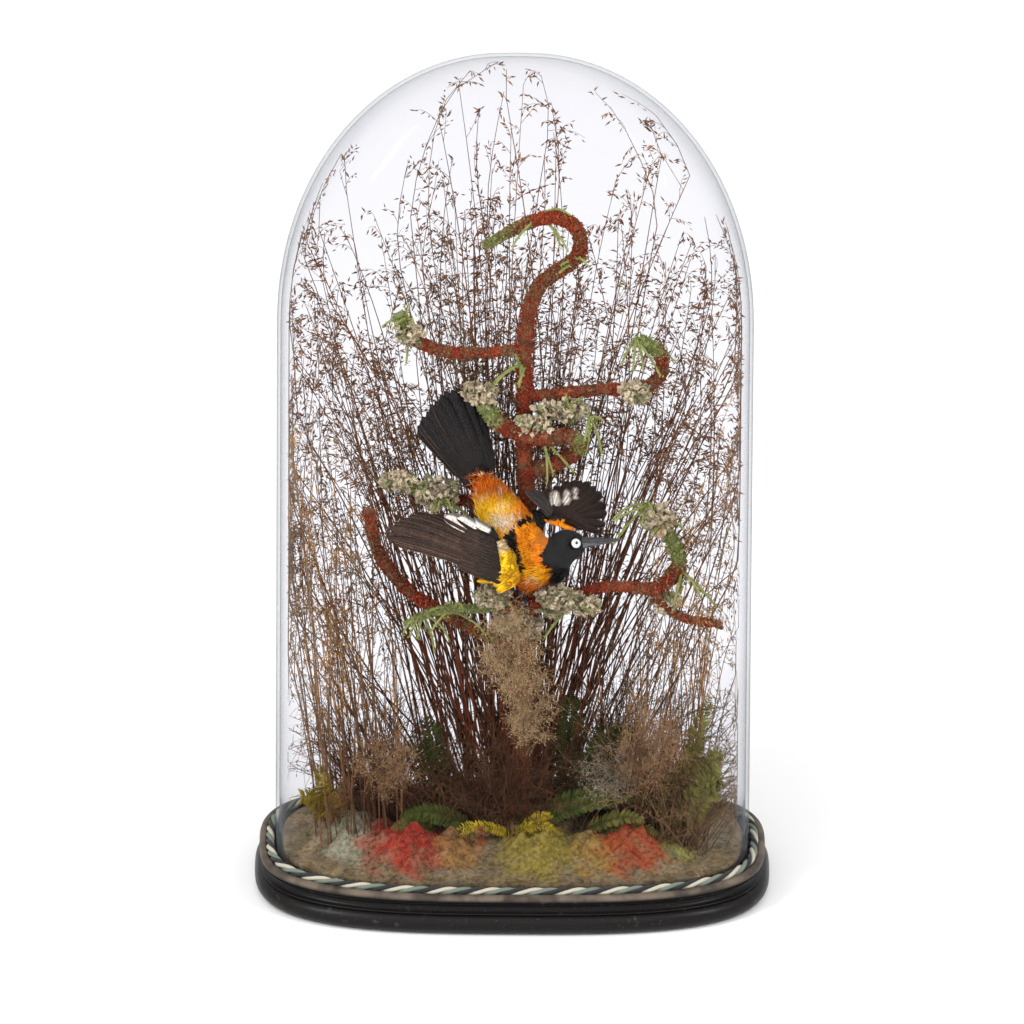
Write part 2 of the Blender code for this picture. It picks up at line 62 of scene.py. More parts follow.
# %% Wrap a socket
class Wire:
    """One output socket, on which sums can be written."""

    def __init__(self, tree, socket):
        self.tree = tree
        self.socket = socket

    def sum(self, operation, *others):
        made = self.tree.nodes.new("ShaderNodeMath")
        made.operation = operation
        for place, value in zip(made.inputs, others):
            join(self.tree, place, value)
        return Wire(self.tree, made.outputs[0])

    def __add__(self, other):
        return self.sum("ADD", self, other)

    def __sub__(self, other):
        return self.sum("SUBTRACT", self, other)

    def __rsub__(self, other):
        return self.sum("SUBTRACT", other, self)

    def __mul__(self, other):
        return self.sum("MULTIPLY", self, other)

    def __pow__(self, other):
        return self.sum("POWER", self, other)

    __radd__ = __add__
    __rmul__ = __mul__

    def step(self, low, high):
        """0 below low, 1 above high and smooth between them."""
        made = self.tree.nodes.new("ShaderNodeMapRange")
        made.interpolation_type = "SMOOTHSTEP"
        for index, value in ((0, self), (1, low), (2, high), (3, 0.0), (4, 1.0)):
            join(self.tree, made.inputs[index], value)
        return Wire(self.tree, made.outputs[0])


def join(tree, place, value):
    """Links a wire to a socket, or sets the socket to a value."""
    if isinstance(value, Wire):
        tree.links.new(value.socket, place)
    elif isinstance(value, tuple) and len(value) == 3 and place.type == "RGBA":
        place.default_value = (*value, 1.0)
    else:
        place.default_value = value


# %% Describe a finish
class Finish:
    """A material, and the method that adds nodes to it."""

    def __init__(self, name, roughness=0.6, **sockets):
        self.material = bpy.data.materials.new(name)
        self.material.use_nodes = True
        self.tree = self.material.node_tree
        self.shader = self.tree.nodes["Principled BSDF"]
        self.set(Roughness=roughness, **sockets)

    def set(self, **sockets):
        for name, value in sockets.items():
            join(self.tree, self.shader.inputs[name.replace("_", " ")], value)

    def node(self, kind, values=(), out=0, stops=None, **settings):
        """Adds a node: its settings first, then the values or wires of its sockets."""
        made = self.tree.nodes.new("ShaderNode" + kind)
        for name, value in settings.items():
            setattr(made, name, value)
        if stops:
            ramp = made.color_ramp
            while len(ramp.elements) < len(stops):
                ramp.elements.new(0.5)
            for element, (place, colour) in zip(ramp.elements, stops):
                element.position = place
                element.color = (*colour, 1.0)
        for index, value in dict(values).items():
            join(self.tree, made.inputs[index], value)
        return Wire(self.tree, made.outputs[out])

    def place(self):
        return self.node("TexCoord", out=3)

    def split(self, vector):
        return [self.node("SeparateXYZ", {0: vector}, out=axis) for axis in range(3)]

    def noise(self, scale, detail=3.0, vector=None):
        where = vector or self.place()
        return self.node("TexNoise", {"Vector": where, "Scale": scale, "Detail": detail})

    def mix(self, share, first, second, blend="MIX"):
        values = {0: share, 6: first, 7: second}
        return self.node("Mix", values, out=2, data_type="RGBA", blend_type=blend)

    def attribute(self, name, out=0):
        return self.node("Attribute", out=out, attribute_name=name)

    def bump(self, height, strength=0.5, distance=0.001):
        values = {"Height": height, "Strength": strength, "Distance": distance}
        self.set(Normal=self.node("Bump", values))


# %% [markdown]
# ## Making meshes from rows of points
# Most pieces here are rows of points joined by faces, or many small shapes laid out by a rule. Two
# helpers turn number arrays into objects, with a colour on each point where a piece needs one.

# %% Mesh helpers
def new_piece(name, points, faces, finish, body="base", slot=None, tint=None, smooth=True):
    """An object from points and faces. tint is a colour for each point."""
    mesh = bpy.data.meshes.new(name)
    mesh.from_pydata([tuple(p) for p in points], [], [tuple(f) for f in faces])
    mesh.materials.append(finish.material)
    if tint is not None:
        store_colour(mesh, tint)
    mesh.polygons.foreach_set("use_smooth", [smooth] * len(mesh.polygons))
    obj = bpy.data.objects.new(name, mesh)
    bpy.context.scene.collection.objects.link(obj)
    settle(obj, body)
    return obj


def store_colour(mesh, tint):
    layer = mesh.attributes.new("tint", "FLOAT_COLOR", "POINT")
    full = np.ones((len(mesh.vertices), 4), np.float32)
    full[:, :3] = tint
    layer.data.foreach_set("color", full.ravel())


def store_uv(mesh, name, places):
    """A UV map from one place for each point."""
    corners = np.empty(len(mesh.loops), np.int32)
    mesh.loops.foreach_get("vertex_index", corners)
    layer = mesh.uv_layers.new(name=name)
    layer.data.foreach_set("uv", np.asarray(places, np.float32)[corners].ravel())


def settle(obj, body):
    """Says which body a piece rides on."""
    if body:
        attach(obj, body)


def rows_to_faces(rows, columns, wrap=True, close=False):
    """Faces that join a grid of points, row by row. wrap closes each row, and close its two ends."""
    faces = []
    last = columns if wrap else columns - 1
    for row in range(rows - 1):
        for column in range(last):
            after = (column + 1) % columns
            low = row * columns
            faces.append((low + column, low + after, low + columns + after, low + columns + column))
    if close:
        faces.append(tuple(reversed(range(columns))))
        faces.append(tuple(range((rows - 1) * columns, rows * columns)))
    return faces


def sheet_faces(rows, columns, start=0):
    """Faces of a thin closed sheet: its upper grid, its lower one and the rim between them."""
    step = rows * columns
    faces = []
    for row in range(rows - 1):
        for column in range(columns - 1):
            a = start + row * columns + column
            faces.append((a, a + 1, a + columns + 1, a + columns))
            faces.append((a + step, a + step + columns, a + step + columns + 1, a + step + 1))
    rim = [*range(columns), *range(2 * columns - 1, step, columns), *range(step - 2, step - columns - 1, -1),
           *range(step - 2 * columns, 0, -columns)]
    for k, a in enumerate(rim):
        b = rim[(k + 1) % len(rim)]
        faces.append((start + b, start + a, start + a + step, start + b + step))
    return faces


def face_outwards(obj):
    form = bmesh.new()
    form.from_mesh(obj.data)
    bmesh.ops.remove_doubles(form, verts=form.verts, dist=1e-7)
    bmesh.ops.recalc_face_normals(form, faces=form.faces)
    form.to_mesh(obj.data)
    form.free()
    return obj


def hidden_source(name, points, faces, uv=None):
    """A small shape that is repeated many times. It is never linked to the scene itself."""
    mesh = bpy.data.meshes.new(name)
    mesh.from_pydata([tuple(p) for p in points], [], [tuple(f) for f in faces])
    store_uv(mesh, "vane", np.asarray(points if uv is None else uv)[:, :2])
    mesh.polygons.foreach_set("use_smooth", [True] * len(mesh.polygons))
    return bpy.data.objects.new(name, mesh)


# %% [markdown]
# ## Camera, light and floor
# Such a dome is usually seen from a little above, so that the top of its base shows as a broad oval.
# A long lens far away keeps its tall sides parallel. Two tall soft lamps stand left and right, two
# very broad suns give a faint direction, and the pale floor and even sky fill in the rest.

# %% Set the camera
SCENE = bpy.context.scene
VIEW_DOWN = math.radians(25)
VIEW_ROLL = math.radians(0.35)
VIEW_WIDTH = 0.860
VIEW_CENTRE = 0.3062
DISTANCE = 24.0


def camera_axes():
    ahead = Vector((0, math.cos(VIEW_DOWN), -math.sin(VIEW_DOWN)))
    right = Vector((1, 0, 0))
    up = right.cross(ahead)
    turn = Matrix.Rotation(VIEW_ROLL, 3, -ahead)
    return turn @ right, turn @ up, ahead


right, up, ahead = camera_axes()
camera = bpy.data.objects.new("camera", bpy.data.cameras.new("camera"))
SCENE.collection.objects.link(camera)
camera.data.sensor_width = 36
camera.data.lens = 36 * DISTANCE / VIEW_WIDTH
camera.data.clip_end = 80
target = up * VIEW_CENTRE
basis = Matrix((right, up, -ahead)).transposed().to_4x4()
camera.matrix_world = Matrix.Translation(target - ahead * DISTANCE) @ basis
SCENE.camera = camera
SCENE.view_settings.view_transform = "Standard"
print("lens", round(camera.data.lens), "mm")

# %% Light and floor
SKY = 0.76
sky = bpy.data.worlds.new("studio")
SCENE.world = sky
sky.use_nodes = True
sky.node_tree.nodes["Background"].inputs[0].default_value = (1.0, 1.0, 1.0, 1)
sky.node_tree.nodes["Background"].inputs[1].default_value = SKY


def soft_lamp(name, place, aim, width, height, watts):
    data = bpy.data.lights.new(name, "AREA")
    data.shape = "RECTANGLE"
    data.size = width
    data.size_y = height
    data.energy = watts
    lamp = bpy.data.objects.new(name, data)
    lamp.location = place
    lamp.rotation_mode = "QUATERNION"
    lamp.rotation_quaternion = (Vector(aim) - Vector(place)).to_track_quat("-Z", "Y")
    SCENE.collection.objects.link(lamp)


def broad_sun(name, place, strength, angle):
    data = bpy.data.lights.new(name, "SUN")
    data.energy = strength
    data.angle = math.radians(angle)
    sun = bpy.data.objects.new(name, data)
    sun.rotation_mode = "QUATERNION"
    sun.rotation_quaternion = (-Vector(place)).to_track_quat("-Z", "Y")
    SCENE.collection.objects.link(sun)


soft_lamp("lamp_left", (-1.5, -1.2, 1.9), (0, 0, 0.3), 0.22, 1.0, 24)
soft_lamp("lamp_right", (1.6, -1.0, 1.8), (0, 0, 0.3), 0.22, 1.0, 20)
broad_sun("key_sun", (-0.9, -1.5, 1.5), 1.10, 85)
broad_sun("fill_sun", (1.4, -0.6, 1.4), 0.30, 100)

floor_finish = Finish("pale_floor", 0.7)
floor_grain = floor_finish.noise(3.0)
floor_finish.set(Base_Color=floor_finish.mix(floor_grain * 0.1, (0.93, 0.93, 0.93), (0.9, 0.9, 0.9)))
floor_points = [(-6, -6, -0.0005), (6, -6, -0.0005), (6, 6, -0.0005), (-6, 6, -0.0005)]
floor = new_piece("floor", floor_points, [(0, 1, 2, 3)], floor_finish, body=None)

# %% [markdown]
# ## The oval base
# The base is turned and carved wood, stained black. Its plan is an oval with full corners. The foot
# bulges, a hollow runs above it, and a thin lip stands round the top, where hands have worn the
# stain to brown. The whole profile is listed from the underside round to the middle of the top and
# swept round the oval, because every moulding follows the same plan.

# %% The oval plan
OVAL_POWER = 3.0


def oval(half_x, half_y, steps):
    """Points round the plan, and the share of the way round for each."""
    turn = np.linspace(0, 2 * math.pi, steps, endpoint=False)
    across = np.cos(turn)
    along = np.sin(turn)
    x = half_x * np.sign(across) * np.abs(across) ** (2 / OVAL_POWER)
    y = half_y * np.sign(along) * np.abs(along) ** (2 / OVAL_POWER)
    return np.stack([x, y], 1)


def even_oval(half_x, half_y, steps):
    """The same plan with its points at equal distances."""
    dense = oval(half_x, half_y, 4000)
    closed = np.vstack([dense, dense[:1]])
    run = np.concatenate([[0], np.cumsum(np.linalg.norm(np.diff(closed, axis=0), axis=1))])
    wanted = np.linspace(0, run[-1], steps, endpoint=False)
    x = np.interp(wanted, run, closed[:, 0])
    y = np.interp(wanted, run, closed[:, 1])
    return np.stack([x, y], 1), run[-1]


def oval_share(x, y, half_x, half_y):
    """0 in the middle of the plan and 1 at its edge."""
    power = (np.abs(x) / half_x) ** OVAL_POWER + (np.abs(y) / half_y) ** OVAL_POWER
    return power ** (1 / OVAL_POWER)


# %% The ebonised finish
def ebonised_finish():
    made = Finish("ebonised_wood", 0.3, Specular_IOR_Level=0.16)
    place = made.place()
    x, y, z = made.split(place)
    grain_place = made.node("Mapping", {0: place, 3: (1.0, 3.0, 18.0)})
    grain = made.noise(60.0, 6.0, grain_place)
    black = made.mix(grain, (0.0035, 0.003, 0.003), (0.009, 0.0075, 0.007))
    brown = made.mix(made.noise(90.0, 6.0), (0.085, 0.062, 0.044), (0.19, 0.155, 0.12))
    patchy = made.noise(38.0, 6.0).step(0.34, 0.60)
    lip = z.step(0.0290, 0.0325) * (0.30 + patchy * 0.70)
    rub = made.noise(140.0, 4.0).step(0.62, 0.74) * z.step(0.002, 0.012) * 0.5
    base = made.mix(lip, made.mix(rub, black, (0.07, 0.055, 0.045)), brown)
    dust = made.noise(900.0, 2.0).step(0.68, 0.74) * 0.25
    made.set(Base_Color=made.mix(dust, base, (0.30, 0.28, 0.24)))
    made.set(Roughness=0.26 + grain * 0.16 + lip * 0.28)
    made.bump(grain * 0.6 + made.noise(400.0, 3.0) * 0.4 + lip * patchy * 0.5, 0.25, 0.0006)
    return made


ebony = ebonised_finish()

# %% Sweep the base
BASE_STEPS = 200


def arc(middle_inset, middle_z, radius_x, radius_z, start, end, count):
    """Points of a moulding: how far in from the widest plan, and how high."""
    angles = np.radians(np.linspace(start, end, count))
    return [(middle_inset - math.cos(a) * radius_x, middle_z + math.sin(a) * radius_z) for a in angles]


FOOT_HALF = (0.216, 0.116)
profile = [(0.120, 0.0), (0.0085, 0.0)]
profile += arc(0.0085, 0.0085, 0.0085, 0.0085, -80, 82, 13)
profile += [(0.0098, 0.0174)]
profile += arc(0.0040, 0.0222, -0.0062, 0.0048, -82, 82, 9)
profile += [(0.0058, 0.0272)]
profile += arc(0.0075, 0.0311, 0.0037, 0.0037, -75, 88, 9)
profile += [(0.0094, 0.0345), (0.0099, 0.0335), (0.0102, 0.0312), (0.0170, 0.0310)]
profile += [(0.0173, 0.0271), (0.0212, 0.0271), (0.0214, 0.0310), (0.040, 0.0310), (0.120, 0.0310)]


def swept(name, shape, finish, steps, **more):
    """Sweeps a profile of insets and heights round the base's plan."""
    points = []
    for inset, height in shape:
        half_x = FOOT_HALF[0] - inset
        half_y = max(FOOT_HALF[1] - inset, 0.0)
        if inset >= 0.120:
            half_x, half_y = 0.09, 0.0
        ring = oval(half_x, half_y, steps)
        points.extend((x, y, height) for x, y in ring)
    faces = rows_to_faces(len(shape), steps)
    return face_outwards(new_piece(name, points, faces, finish, **more))


plinth = swept("plinth", profile, ebony, BASE_STEPS, slot="ebonised_wood")
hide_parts("base_plinth")
print("base profile of", len(profile), "points")

# %% [markdown]
# ## The groundwork
# The ground inside is papier mache over paper, painted and strewn with sand. It rises in soft mounds
# that are dabbed with red, lime and orange. A fine grid takes the rise from the same mounds that
# the solid model has, with small lumps on top.

# %% Shape and colour of the ground
GROUND_FLOOR = 0.0313
GROUND_HALF = (0.1925, 0.0915)
GROUND_EDGE = 0.005
MOUNDS = (
    (-0.088, -0.036, 0.015, 0.032),
    (0.028, -0.044, 0.013, 0.026),
    (0.102, -0.034, 0.016, 0.032),
    (-0.140, -0.002, 0.014, 0.026),
    (0.000, 0.030, 0.016, 0.050),
)
DABS = (
    # middle x, middle y, width, depth, colour
    (-0.137, -0.008, 0.020, 0.050, (0.42, 0.43, 0.30)),
    (-0.088, -0.030, 0.037, 0.048, (0.42, 0.026, 0.017)),
    (-0.046, -0.040, 0.018, 0.030, (0.42, 0.22, 0.07)),
    (0.022, -0.042, 0.036, 0.044, (0.33, 0.26, 0.035)),
    (0.070, -0.048, 0.020, 0.030, (0.40, 0.24, 0.06)),
    (0.102, -0.026, 0.031, 0.048, (0.43, 0.062, 0.020)),
    (0.138, -0.020, 0.018, 0.030, (0.36, 0.36, 0.09)),
    (0.160, 0.010, 0.020, 0.030, (0.38, 0.34, 0.24)),
)


def waves(x, y, seed, size):
    """A smooth lumpy field that is the same on each run, from -1 to 1 or so."""
    total = np.zeros_like(x)
    pick = np.random.default_rng(seed)
    for _ in range(7):
        angle, phase = pick.uniform(0, 2 * math.pi, 2)
        length = size * pick.uniform(0.5, 1.6)
        total += np.sin((x * math.cos(angle) + y * math.sin(angle)) * 2 * math.pi / length + phase)
    return total / 3.2


def ground_rise(x, y):
    """Height of the ground above the base's floor."""
    x = np.asarray(x, float)
    y = np.asarray(y, float)
    edge = oval_share(x, y, *GROUND_HALF) ** OVAL_POWER
    rise = np.zeros_like(x)
    for middle_x, middle_y, height, spread in MOUNDS:
        rise += height * 1.25 * np.exp(-((x - middle_x) ** 2 + (y - middle_y) ** 2) / spread ** 2)
    crease = np.abs(waves(x, y, 5, 0.036)) * 0.0070 + np.abs(waves(x, y, 6, 0.015)) * 0.0028
    lumps = crease * np.clip(rise / 0.006, 0, 1)
    lumps = lumps + waves(x, y, 3, 0.012) * 0.0008 + waves(x, y, 4, 0.005) * 0.0006
    return GROUND_EDGE + (rise + lumps) * np.clip(1 - edge ** 2, 0, 1)


def ground_height(x, y):
    return GROUND_FLOOR + ground_rise(x, y)


def blend_colour(first, second, share):
    return first + (np.asarray(second) - first) * share[:, None]


def ground_colour(x, y):
    patch = waves(x, y, 8, 0.03)[:, None]
    colour = np.array((0.27, 0.195, 0.105)) * (1 + 0.25 * patch)
    colour = blend_colour(colour, (0.30, 0.27, 0.21), np.clip(waves(x, y, 9, 0.012), 0, 1) * 0.5)
    colour = blend_colour(colour, (0.13, 0.12, 0.05), np.clip(waves(x, y, 10, 0.02), 0, 1) * 0.4)
    for middle_x, middle_y, width, depth, paint in DABS:
        away = ((x - middle_x) / width) ** 2 + ((y - middle_y) / depth) ** 2
        ragged = away + waves(x, y, 11, 0.02) * 0.35
        patchy = 0.80 + 0.15 * np.clip(waves(x, y, 12, 0.012), -1, 1)
        colour = blend_colour(colour, paint, np.clip(1.4 - ragged, 0, 1) * patchy)
    return colour


def earth_finish():
    made = Finish("groundwork", 0.95, Specular_IOR_Level=0.08)
    grit = made.noise(1500.0, 3.0)
    clods = made.noise(260.0, 5.0)
    tint = made.attribute("tint")
    dark = made.mix(clods.step(0.35, 0.6) * 0.65 + 0.35, (0.30, 0.27, 0.25), (0.92, 0.92, 0.92))
    colour = made.mix(1.0, tint, dark, "MULTIPLY")
    colour = made.mix(grit.step(0.62, 0.70) * 0.16, colour, (0.40, 0.32, 0.20))
    colour = made.mix(made.noise(700.0).step(0.62, 0.68) * 0.6, colour, (0.05, 0.045, 0.03))
    made.set(Base_Color=colour)
    made.bump(clods * 0.8 + grit * 0.4, 0.8, 0.0012)
    return made


earth = earth_finish()

# %% Lay the ground
GROUND_RINGS = 72
GROUND_STEPS = 260


def lay_ground():
    rim = oval(*GROUND_HALF, GROUND_STEPS)
    points = [(x, y, GROUND_FLOOR) for x, y in rim]
    for ring in range(GROUND_RINGS):
        flat = rim * (1 - ring / GROUND_RINGS)
        heights = ground_height(flat[:, 0], flat[:, 1])
        points.extend(zip(flat[:, 0], flat[:, 1], heights))
    points = np.array(points)
    faces = rows_to_faces(GROUND_RINGS + 1, GROUND_STEPS, close=True)
    tint = ground_colour(points[:, 0], points[:, 1])
    return new_piece("groundwork_bed", points, faces, earth, slot="groundwork", tint=tint)


ground = lay_ground()
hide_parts("groundwork")
print("ground rises to", round(float(max(v.co.z for v in ground.data.vertices)), 4), "m")

# %% [markdown]
# ## The chenille rope
# A soft rope of three strands, cream, black and grey-green, hides the joint between glass and wood.
# It is twisted, so each strand is a helix round the oval. Geometry Nodes sweep a small circle
# along the three helices, and thousands of short hairs stand on them as the pile.

# %% A tree that sweeps a tube along edges
def group_input(tree, name, kind, default=None):
    made = tree.interface.new_socket(name, in_out="INPUT", socket_type="NodeSocket" + kind)
    if default is not None:
        made.default_value = default
    return made.identifier


class Growth:
    """A Geometry Nodes tree: add gives a node by type, settings and links."""

    def __init__(self, name):
        self.tree = bpy.data.node_groups.new(name, "GeometryNodeTree")
        self.inputs = {}
        self.start = None

    def socket(self, name, kind, default=None):
        self.inputs[name] = group_input(self.tree, name, kind, default)

    def close(self):
        self.tree.interface.new_socket("Geometry", in_out="OUTPUT", socket_type="NodeSocketGeometry")
        self.start = self.tree.nodes.new("NodeGroupInput")

    def add(self, kind, values=(), **settings):
        made = self.tree.nodes.new(kind)
        for name, value in settings.items():
            setattr(made, name, value)
        for index, value in dict(values).items():
            place = made.inputs[index]
            if isinstance(value, bpy.types.NodeSocket):
                self.tree.links.new(value, place)
            else:
                place.default_value = value
        return made

    def given(self, name):
        return self.start.outputs[name]

    def finish(self, socket):
        end = self.tree.nodes.new("NodeGroupOutput")
        self.tree.links.new(socket, end.inputs[0])

    def read(self, name, kind="FLOAT_VECTOR"):
        return self.add("GeometryNodeInputNamedAttribute", {0: name}, data_type=kind).outputs[0]


def sweep_tree():
    growth = Growth("sweep a tube")
    growth.socket("Geometry", "Geometry")
    growth.socket("Sides", "Int", 6)
    growth.socket("Finish", "Material")
    growth.close()
    line = growth.add("GeometryNodeMeshToCurve", {0: growth.given("Geometry")})
    width = growth.read("width", "FLOAT")
    ring = growth.add("GeometryNodeCurvePrimitiveCircle",
                      {"Resolution": growth.given("Sides"), "Radius": 1.0})
    tube = growth.add("GeometryNodeCurveToMesh", {0: line.outputs[0], 1: ring.outputs[0], 2: width, 3: True})
    real = growth.add("GeometryNodeRealizeInstances", {0: tube.outputs[0]})
    smooth = growth.add("GeometryNodeSetShadeSmooth", {0: real.outputs[0]})
    painted = growth.add("GeometryNodeSetMaterial", {0: smooth.outputs[0], 2: growth.given("Finish")})
    growth.finish(painted.outputs[0])
    return growth


sweeper = sweep_tree()


def grown(obj, growth, values):
    """Runs a tree on an object and leaves a plain mesh in its place."""
    step = obj.modifiers.new("growth", "NODES")
    step.node_group = growth.tree
    for name, value in values.items():
        step[growth.inputs[name]] = value
    graph = bpy.context.evaluated_depsgraph_get()
    graph.update()
    made = bpy.data.meshes.new_from_object(obj.evaluated_get(graph), preserve_all_data_layers=True,
                                           depsgraph=graph)
    obj.modifiers.clear()
    old = obj.data
    obj.data = made
    bpy.data.meshes.remove(old)
    return obj


def line_object(name, paths, widths, tints, cyclic=False):
    """One object that holds many lines, with a width and a colour at each point."""
    points = np.vstack(paths)
    edges = []
    start = 0
    for path in paths:
        edges.extend((start + i, start + i + 1) for i in range(len(path) - 1))
        if cyclic:
            edges.append((start + len(path) - 1, start))
        start += len(path)
    mesh = bpy.data.meshes.new(name)
    mesh.from_pydata([tuple(p) for p in points], edges, [])
    width = mesh.attributes.new("width", "FLOAT", "POINT")
    width.data.foreach_set("value", np.concatenate(widths).astype(np.float32))
    store_colour(mesh, np.vstack(tints))
    obj = bpy.data.objects.new(name, mesh)
    SCENE.collection.objects.link(obj)
    return obj


def tubes(name, paths, widths, tints, finish, sides=6, body="base", cyclic=False):
    """Tubes along many lines, as one plain mesh."""
    obj = line_object(name, paths, widths, tints, cyclic)
    grown(obj, sweeper, {"Sides": sides, "Finish": finish.material})
    settle(obj, body)
    return obj


# %% A tree that sets a small piece on each point
def planting_tree():
    growth = Growth("set a piece on each point")
    growth.socket("Geometry", "Geometry")
    growth.socket("Piece", "Object")
    growth.socket("Size", "Float", 1.0)
    growth.socket("Spread", "Float", 0.0)
    growth.socket("Seed", "Int", 1)
    growth.socket("Patch", "Float", 0.003)
    growth.socket("Finish", "Material")
    growth.close()
    shape = growth.add("GeometryNodeObjectInfo", {0: growth.given("Piece")})
    aim = growth.add("FunctionNodeAxesToRotation", {0: growth.read("lie"), 1: growth.read("out")},
                     primary_axis="Y", secondary_axis="Z")
    low = growth.add("ShaderNodeMath", {0: growth.given("Spread"), 1: -1.0}, operation="MULTIPLY")
    dice = growth.add("FunctionNodeRandomValue",
                      {2: low.outputs[0], 3: growth.given("Spread"), 8: growth.given("Seed")},
                      data_type="FLOAT")
    yaw = growth.add("ShaderNodeCombineXYZ", {2: dice.outputs[1]})
    euler = growth.add("FunctionNodeEulerToRotation", {0: yaw.outputs[0]})
    turned = growth.add("FunctionNodeRotateRotation", {0: aim.outputs[0], 1: euler.outputs[0]},
                        rotation_space="LOCAL")
    size = growth.add("ShaderNodeVectorMath", {0: growth.read("size"), 3: growth.given("Size")},
                      operation="SCALE")
    placed = growth.add("GeometryNodeInstanceOnPoints",
                        {0: growth.given("Geometry"), 2: shape.outputs["Geometry"],
                                                         5: turned.outputs[0], 6: size.outputs[0]})
    real = growth.add("GeometryNodeRealizeInstances", {0: placed.outputs[0]})
    patch = growth.add("ShaderNodeVectorMath", {0: growth.read("vane"), 3: growth.given("Patch")},
                       operation="SCALE")
    spot = growth.add("ShaderNodeVectorMath", {0: growth.read("root"), 1: patch.outputs[0]}, operation="ADD")
    store = growth.add("GeometryNodeStoreNamedAttribute",
                       {0: real.outputs[0], 2: "OFBake", 3: spot.outputs[0]},
                       data_type="FLOAT2", domain="CORNER")
    painted = growth.add("GeometryNodeSetMaterial", {0: store.outputs[0], 2: growth.given("Finish")})
    growth.finish(painted.outputs[0])
    return growth


planter = planting_tree()


def unit(vectors):
    vectors = np.asarray(vectors, float)
    return vectors / np.maximum(np.linalg.norm(vectors, axis=1, keepdims=True), 1e-9)


def planted(name, piece, places, lie, out, size, tint, finish, root=None, spread=0.0, seed=1, body="base",
            patch=0.003):
    """Copies of a small piece on many points, as one plain mesh."""
    count = len(places)
    mesh = bpy.data.meshes.new(name)
    mesh.from_pydata([tuple(p) for p in places], [], [])
    full = np.zeros((count, 3))
    sizes = np.asarray(size, float)
    if sizes.ndim == 1:
        sizes = np.repeat(sizes[:, None], 3, 1)
    roots = np.zeros((count, 3))
    roots[:, :2] = chance.uniform(0, 0.99, (count, 2)) if root is None else root
    for key, values in (("lie", unit(full + lie)), ("out", unit(full + out)), ("size", sizes),
                        ("root", roots)):
        layer = mesh.attributes.new(key, "FLOAT_VECTOR", "POINT")
        layer.data.foreach_set("vector", np.asarray(values, np.float32).ravel())
    store_colour(mesh, tint)
    obj = bpy.data.objects.new(name, mesh)
    SCENE.collection.objects.link(obj)
    values = {"Piece": piece, "Size": 1.0, "Spread": spread, "Seed": seed, "Patch": patch,
              "Finish": finish.material}
    grown(obj, planter, values)
    settle(obj, body)
    print(name, count, "pieces,", len(obj.data.polygons), "faces")
    return obj


# %% Twist the rope
ROPE_HALF = (0.2030, 0.1015)
ROPE_HEIGHT = 0.0350
STRAND_OFFSET = 0.0018
STRAND_RADIUS = 0.0018
ROPE_PITCH = 0.036
ROPE_COLOURS = ((0.62, 0.58, 0.46), (0.025, 0.025, 0.028), (0.20, 0.24, 0.19))


def pile_finish():
    made = Finish("chenille", 0.95, Sheen_Weight=0.1)
    hairs = made.noise(2600.0, 2.0)
    tint = made.attribute("tint")
    shade = made.mix(hairs, (0.45, 0.45, 0.45), (1.25, 1.25, 1.25))
    made.set(Base_Color=made.mix(1.0, tint, shade, "MULTIPLY"))
    made.bump(hairs, 0.9, 0.0006)
    return made


pile = pile_finish()
ring_points, rope_length = even_oval(*ROPE_HALF, 900)
ahead_on_ring = unit(np.roll(ring_points, -1, 0) - np.roll(ring_points, 1, 0))
outward = np.stack([ahead_on_ring[:, 1], -ahead_on_ring[:, 0]], 1)
turns = round(rope_length / ROPE_PITCH)
strands = []
for strand in range(3):
    twist = np.linspace(0, 2 * math.pi * turns, 900, endpoint=False) + strand * 2 * math.pi / 3
    flat = ring_points + outward * (np.cos(twist) * STRAND_OFFSET)[:, None]
    strands.append(np.column_stack([flat, ROPE_HEIGHT + np.sin(twist) * STRAND_OFFSET]))
rope_tints = [np.tile(colour, (900, 1)) for colour in ROPE_COLOURS]
rope_widths = [np.full(900, STRAND_RADIUS)] * 3
rope = tubes("rope_strands", strands, rope_widths, rope_tints, pile, 8, cyclic=True)
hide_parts("base_rope")
print("rope is", round(float(rope_length), 3), "m round")

# %% The rope's pile
def spike(sides=3, thick=0.08, bend=0.15):
    """A thin pointed hair of unit length along +Y."""
    angles = [2 * math.pi * k / sides for k in range(sides)]
    points = []
    for along, share in ((0.0, 1.0), (0.55, 0.75)):
        points += [(math.cos(a) * thick * share, along, math.sin(a) * thick * share - bend * along ** 2)
                   for a in angles]
    points.append((0, 1.0, -bend))
    faces = [tuple(range(sides))]
    for k in range(sides):
        after = (k + 1) % sides
        faces.append((k, sides + k, sides + after, after))
        faces.append((sides + k, 2 * sides, sides + after))
    return points, faces


hair = hidden_source("hair", *spike())
ROPE_HAIRS = 7000
pick = chance.integers(0, 900, ROPE_HAIRS)
which = chance.integers(0, 3, ROPE_HAIRS)
around = chance.normal(size=(ROPE_HAIRS, 3))
hair_roots = np.stack(strands)[which, pick] + unit(around) * STRAND_RADIUS * 0.7
hair_tints = np.array(ROPE_COLOURS)[which] * chance.uniform(0.8, 1.25, (ROPE_HAIRS, 1))
planted("rope_pile", hair, hair_roots, unit(around), around + 0.3, chance.uniform(0.0008, 0.0013, ROPE_HAIRS),
        hair_tints, pile)
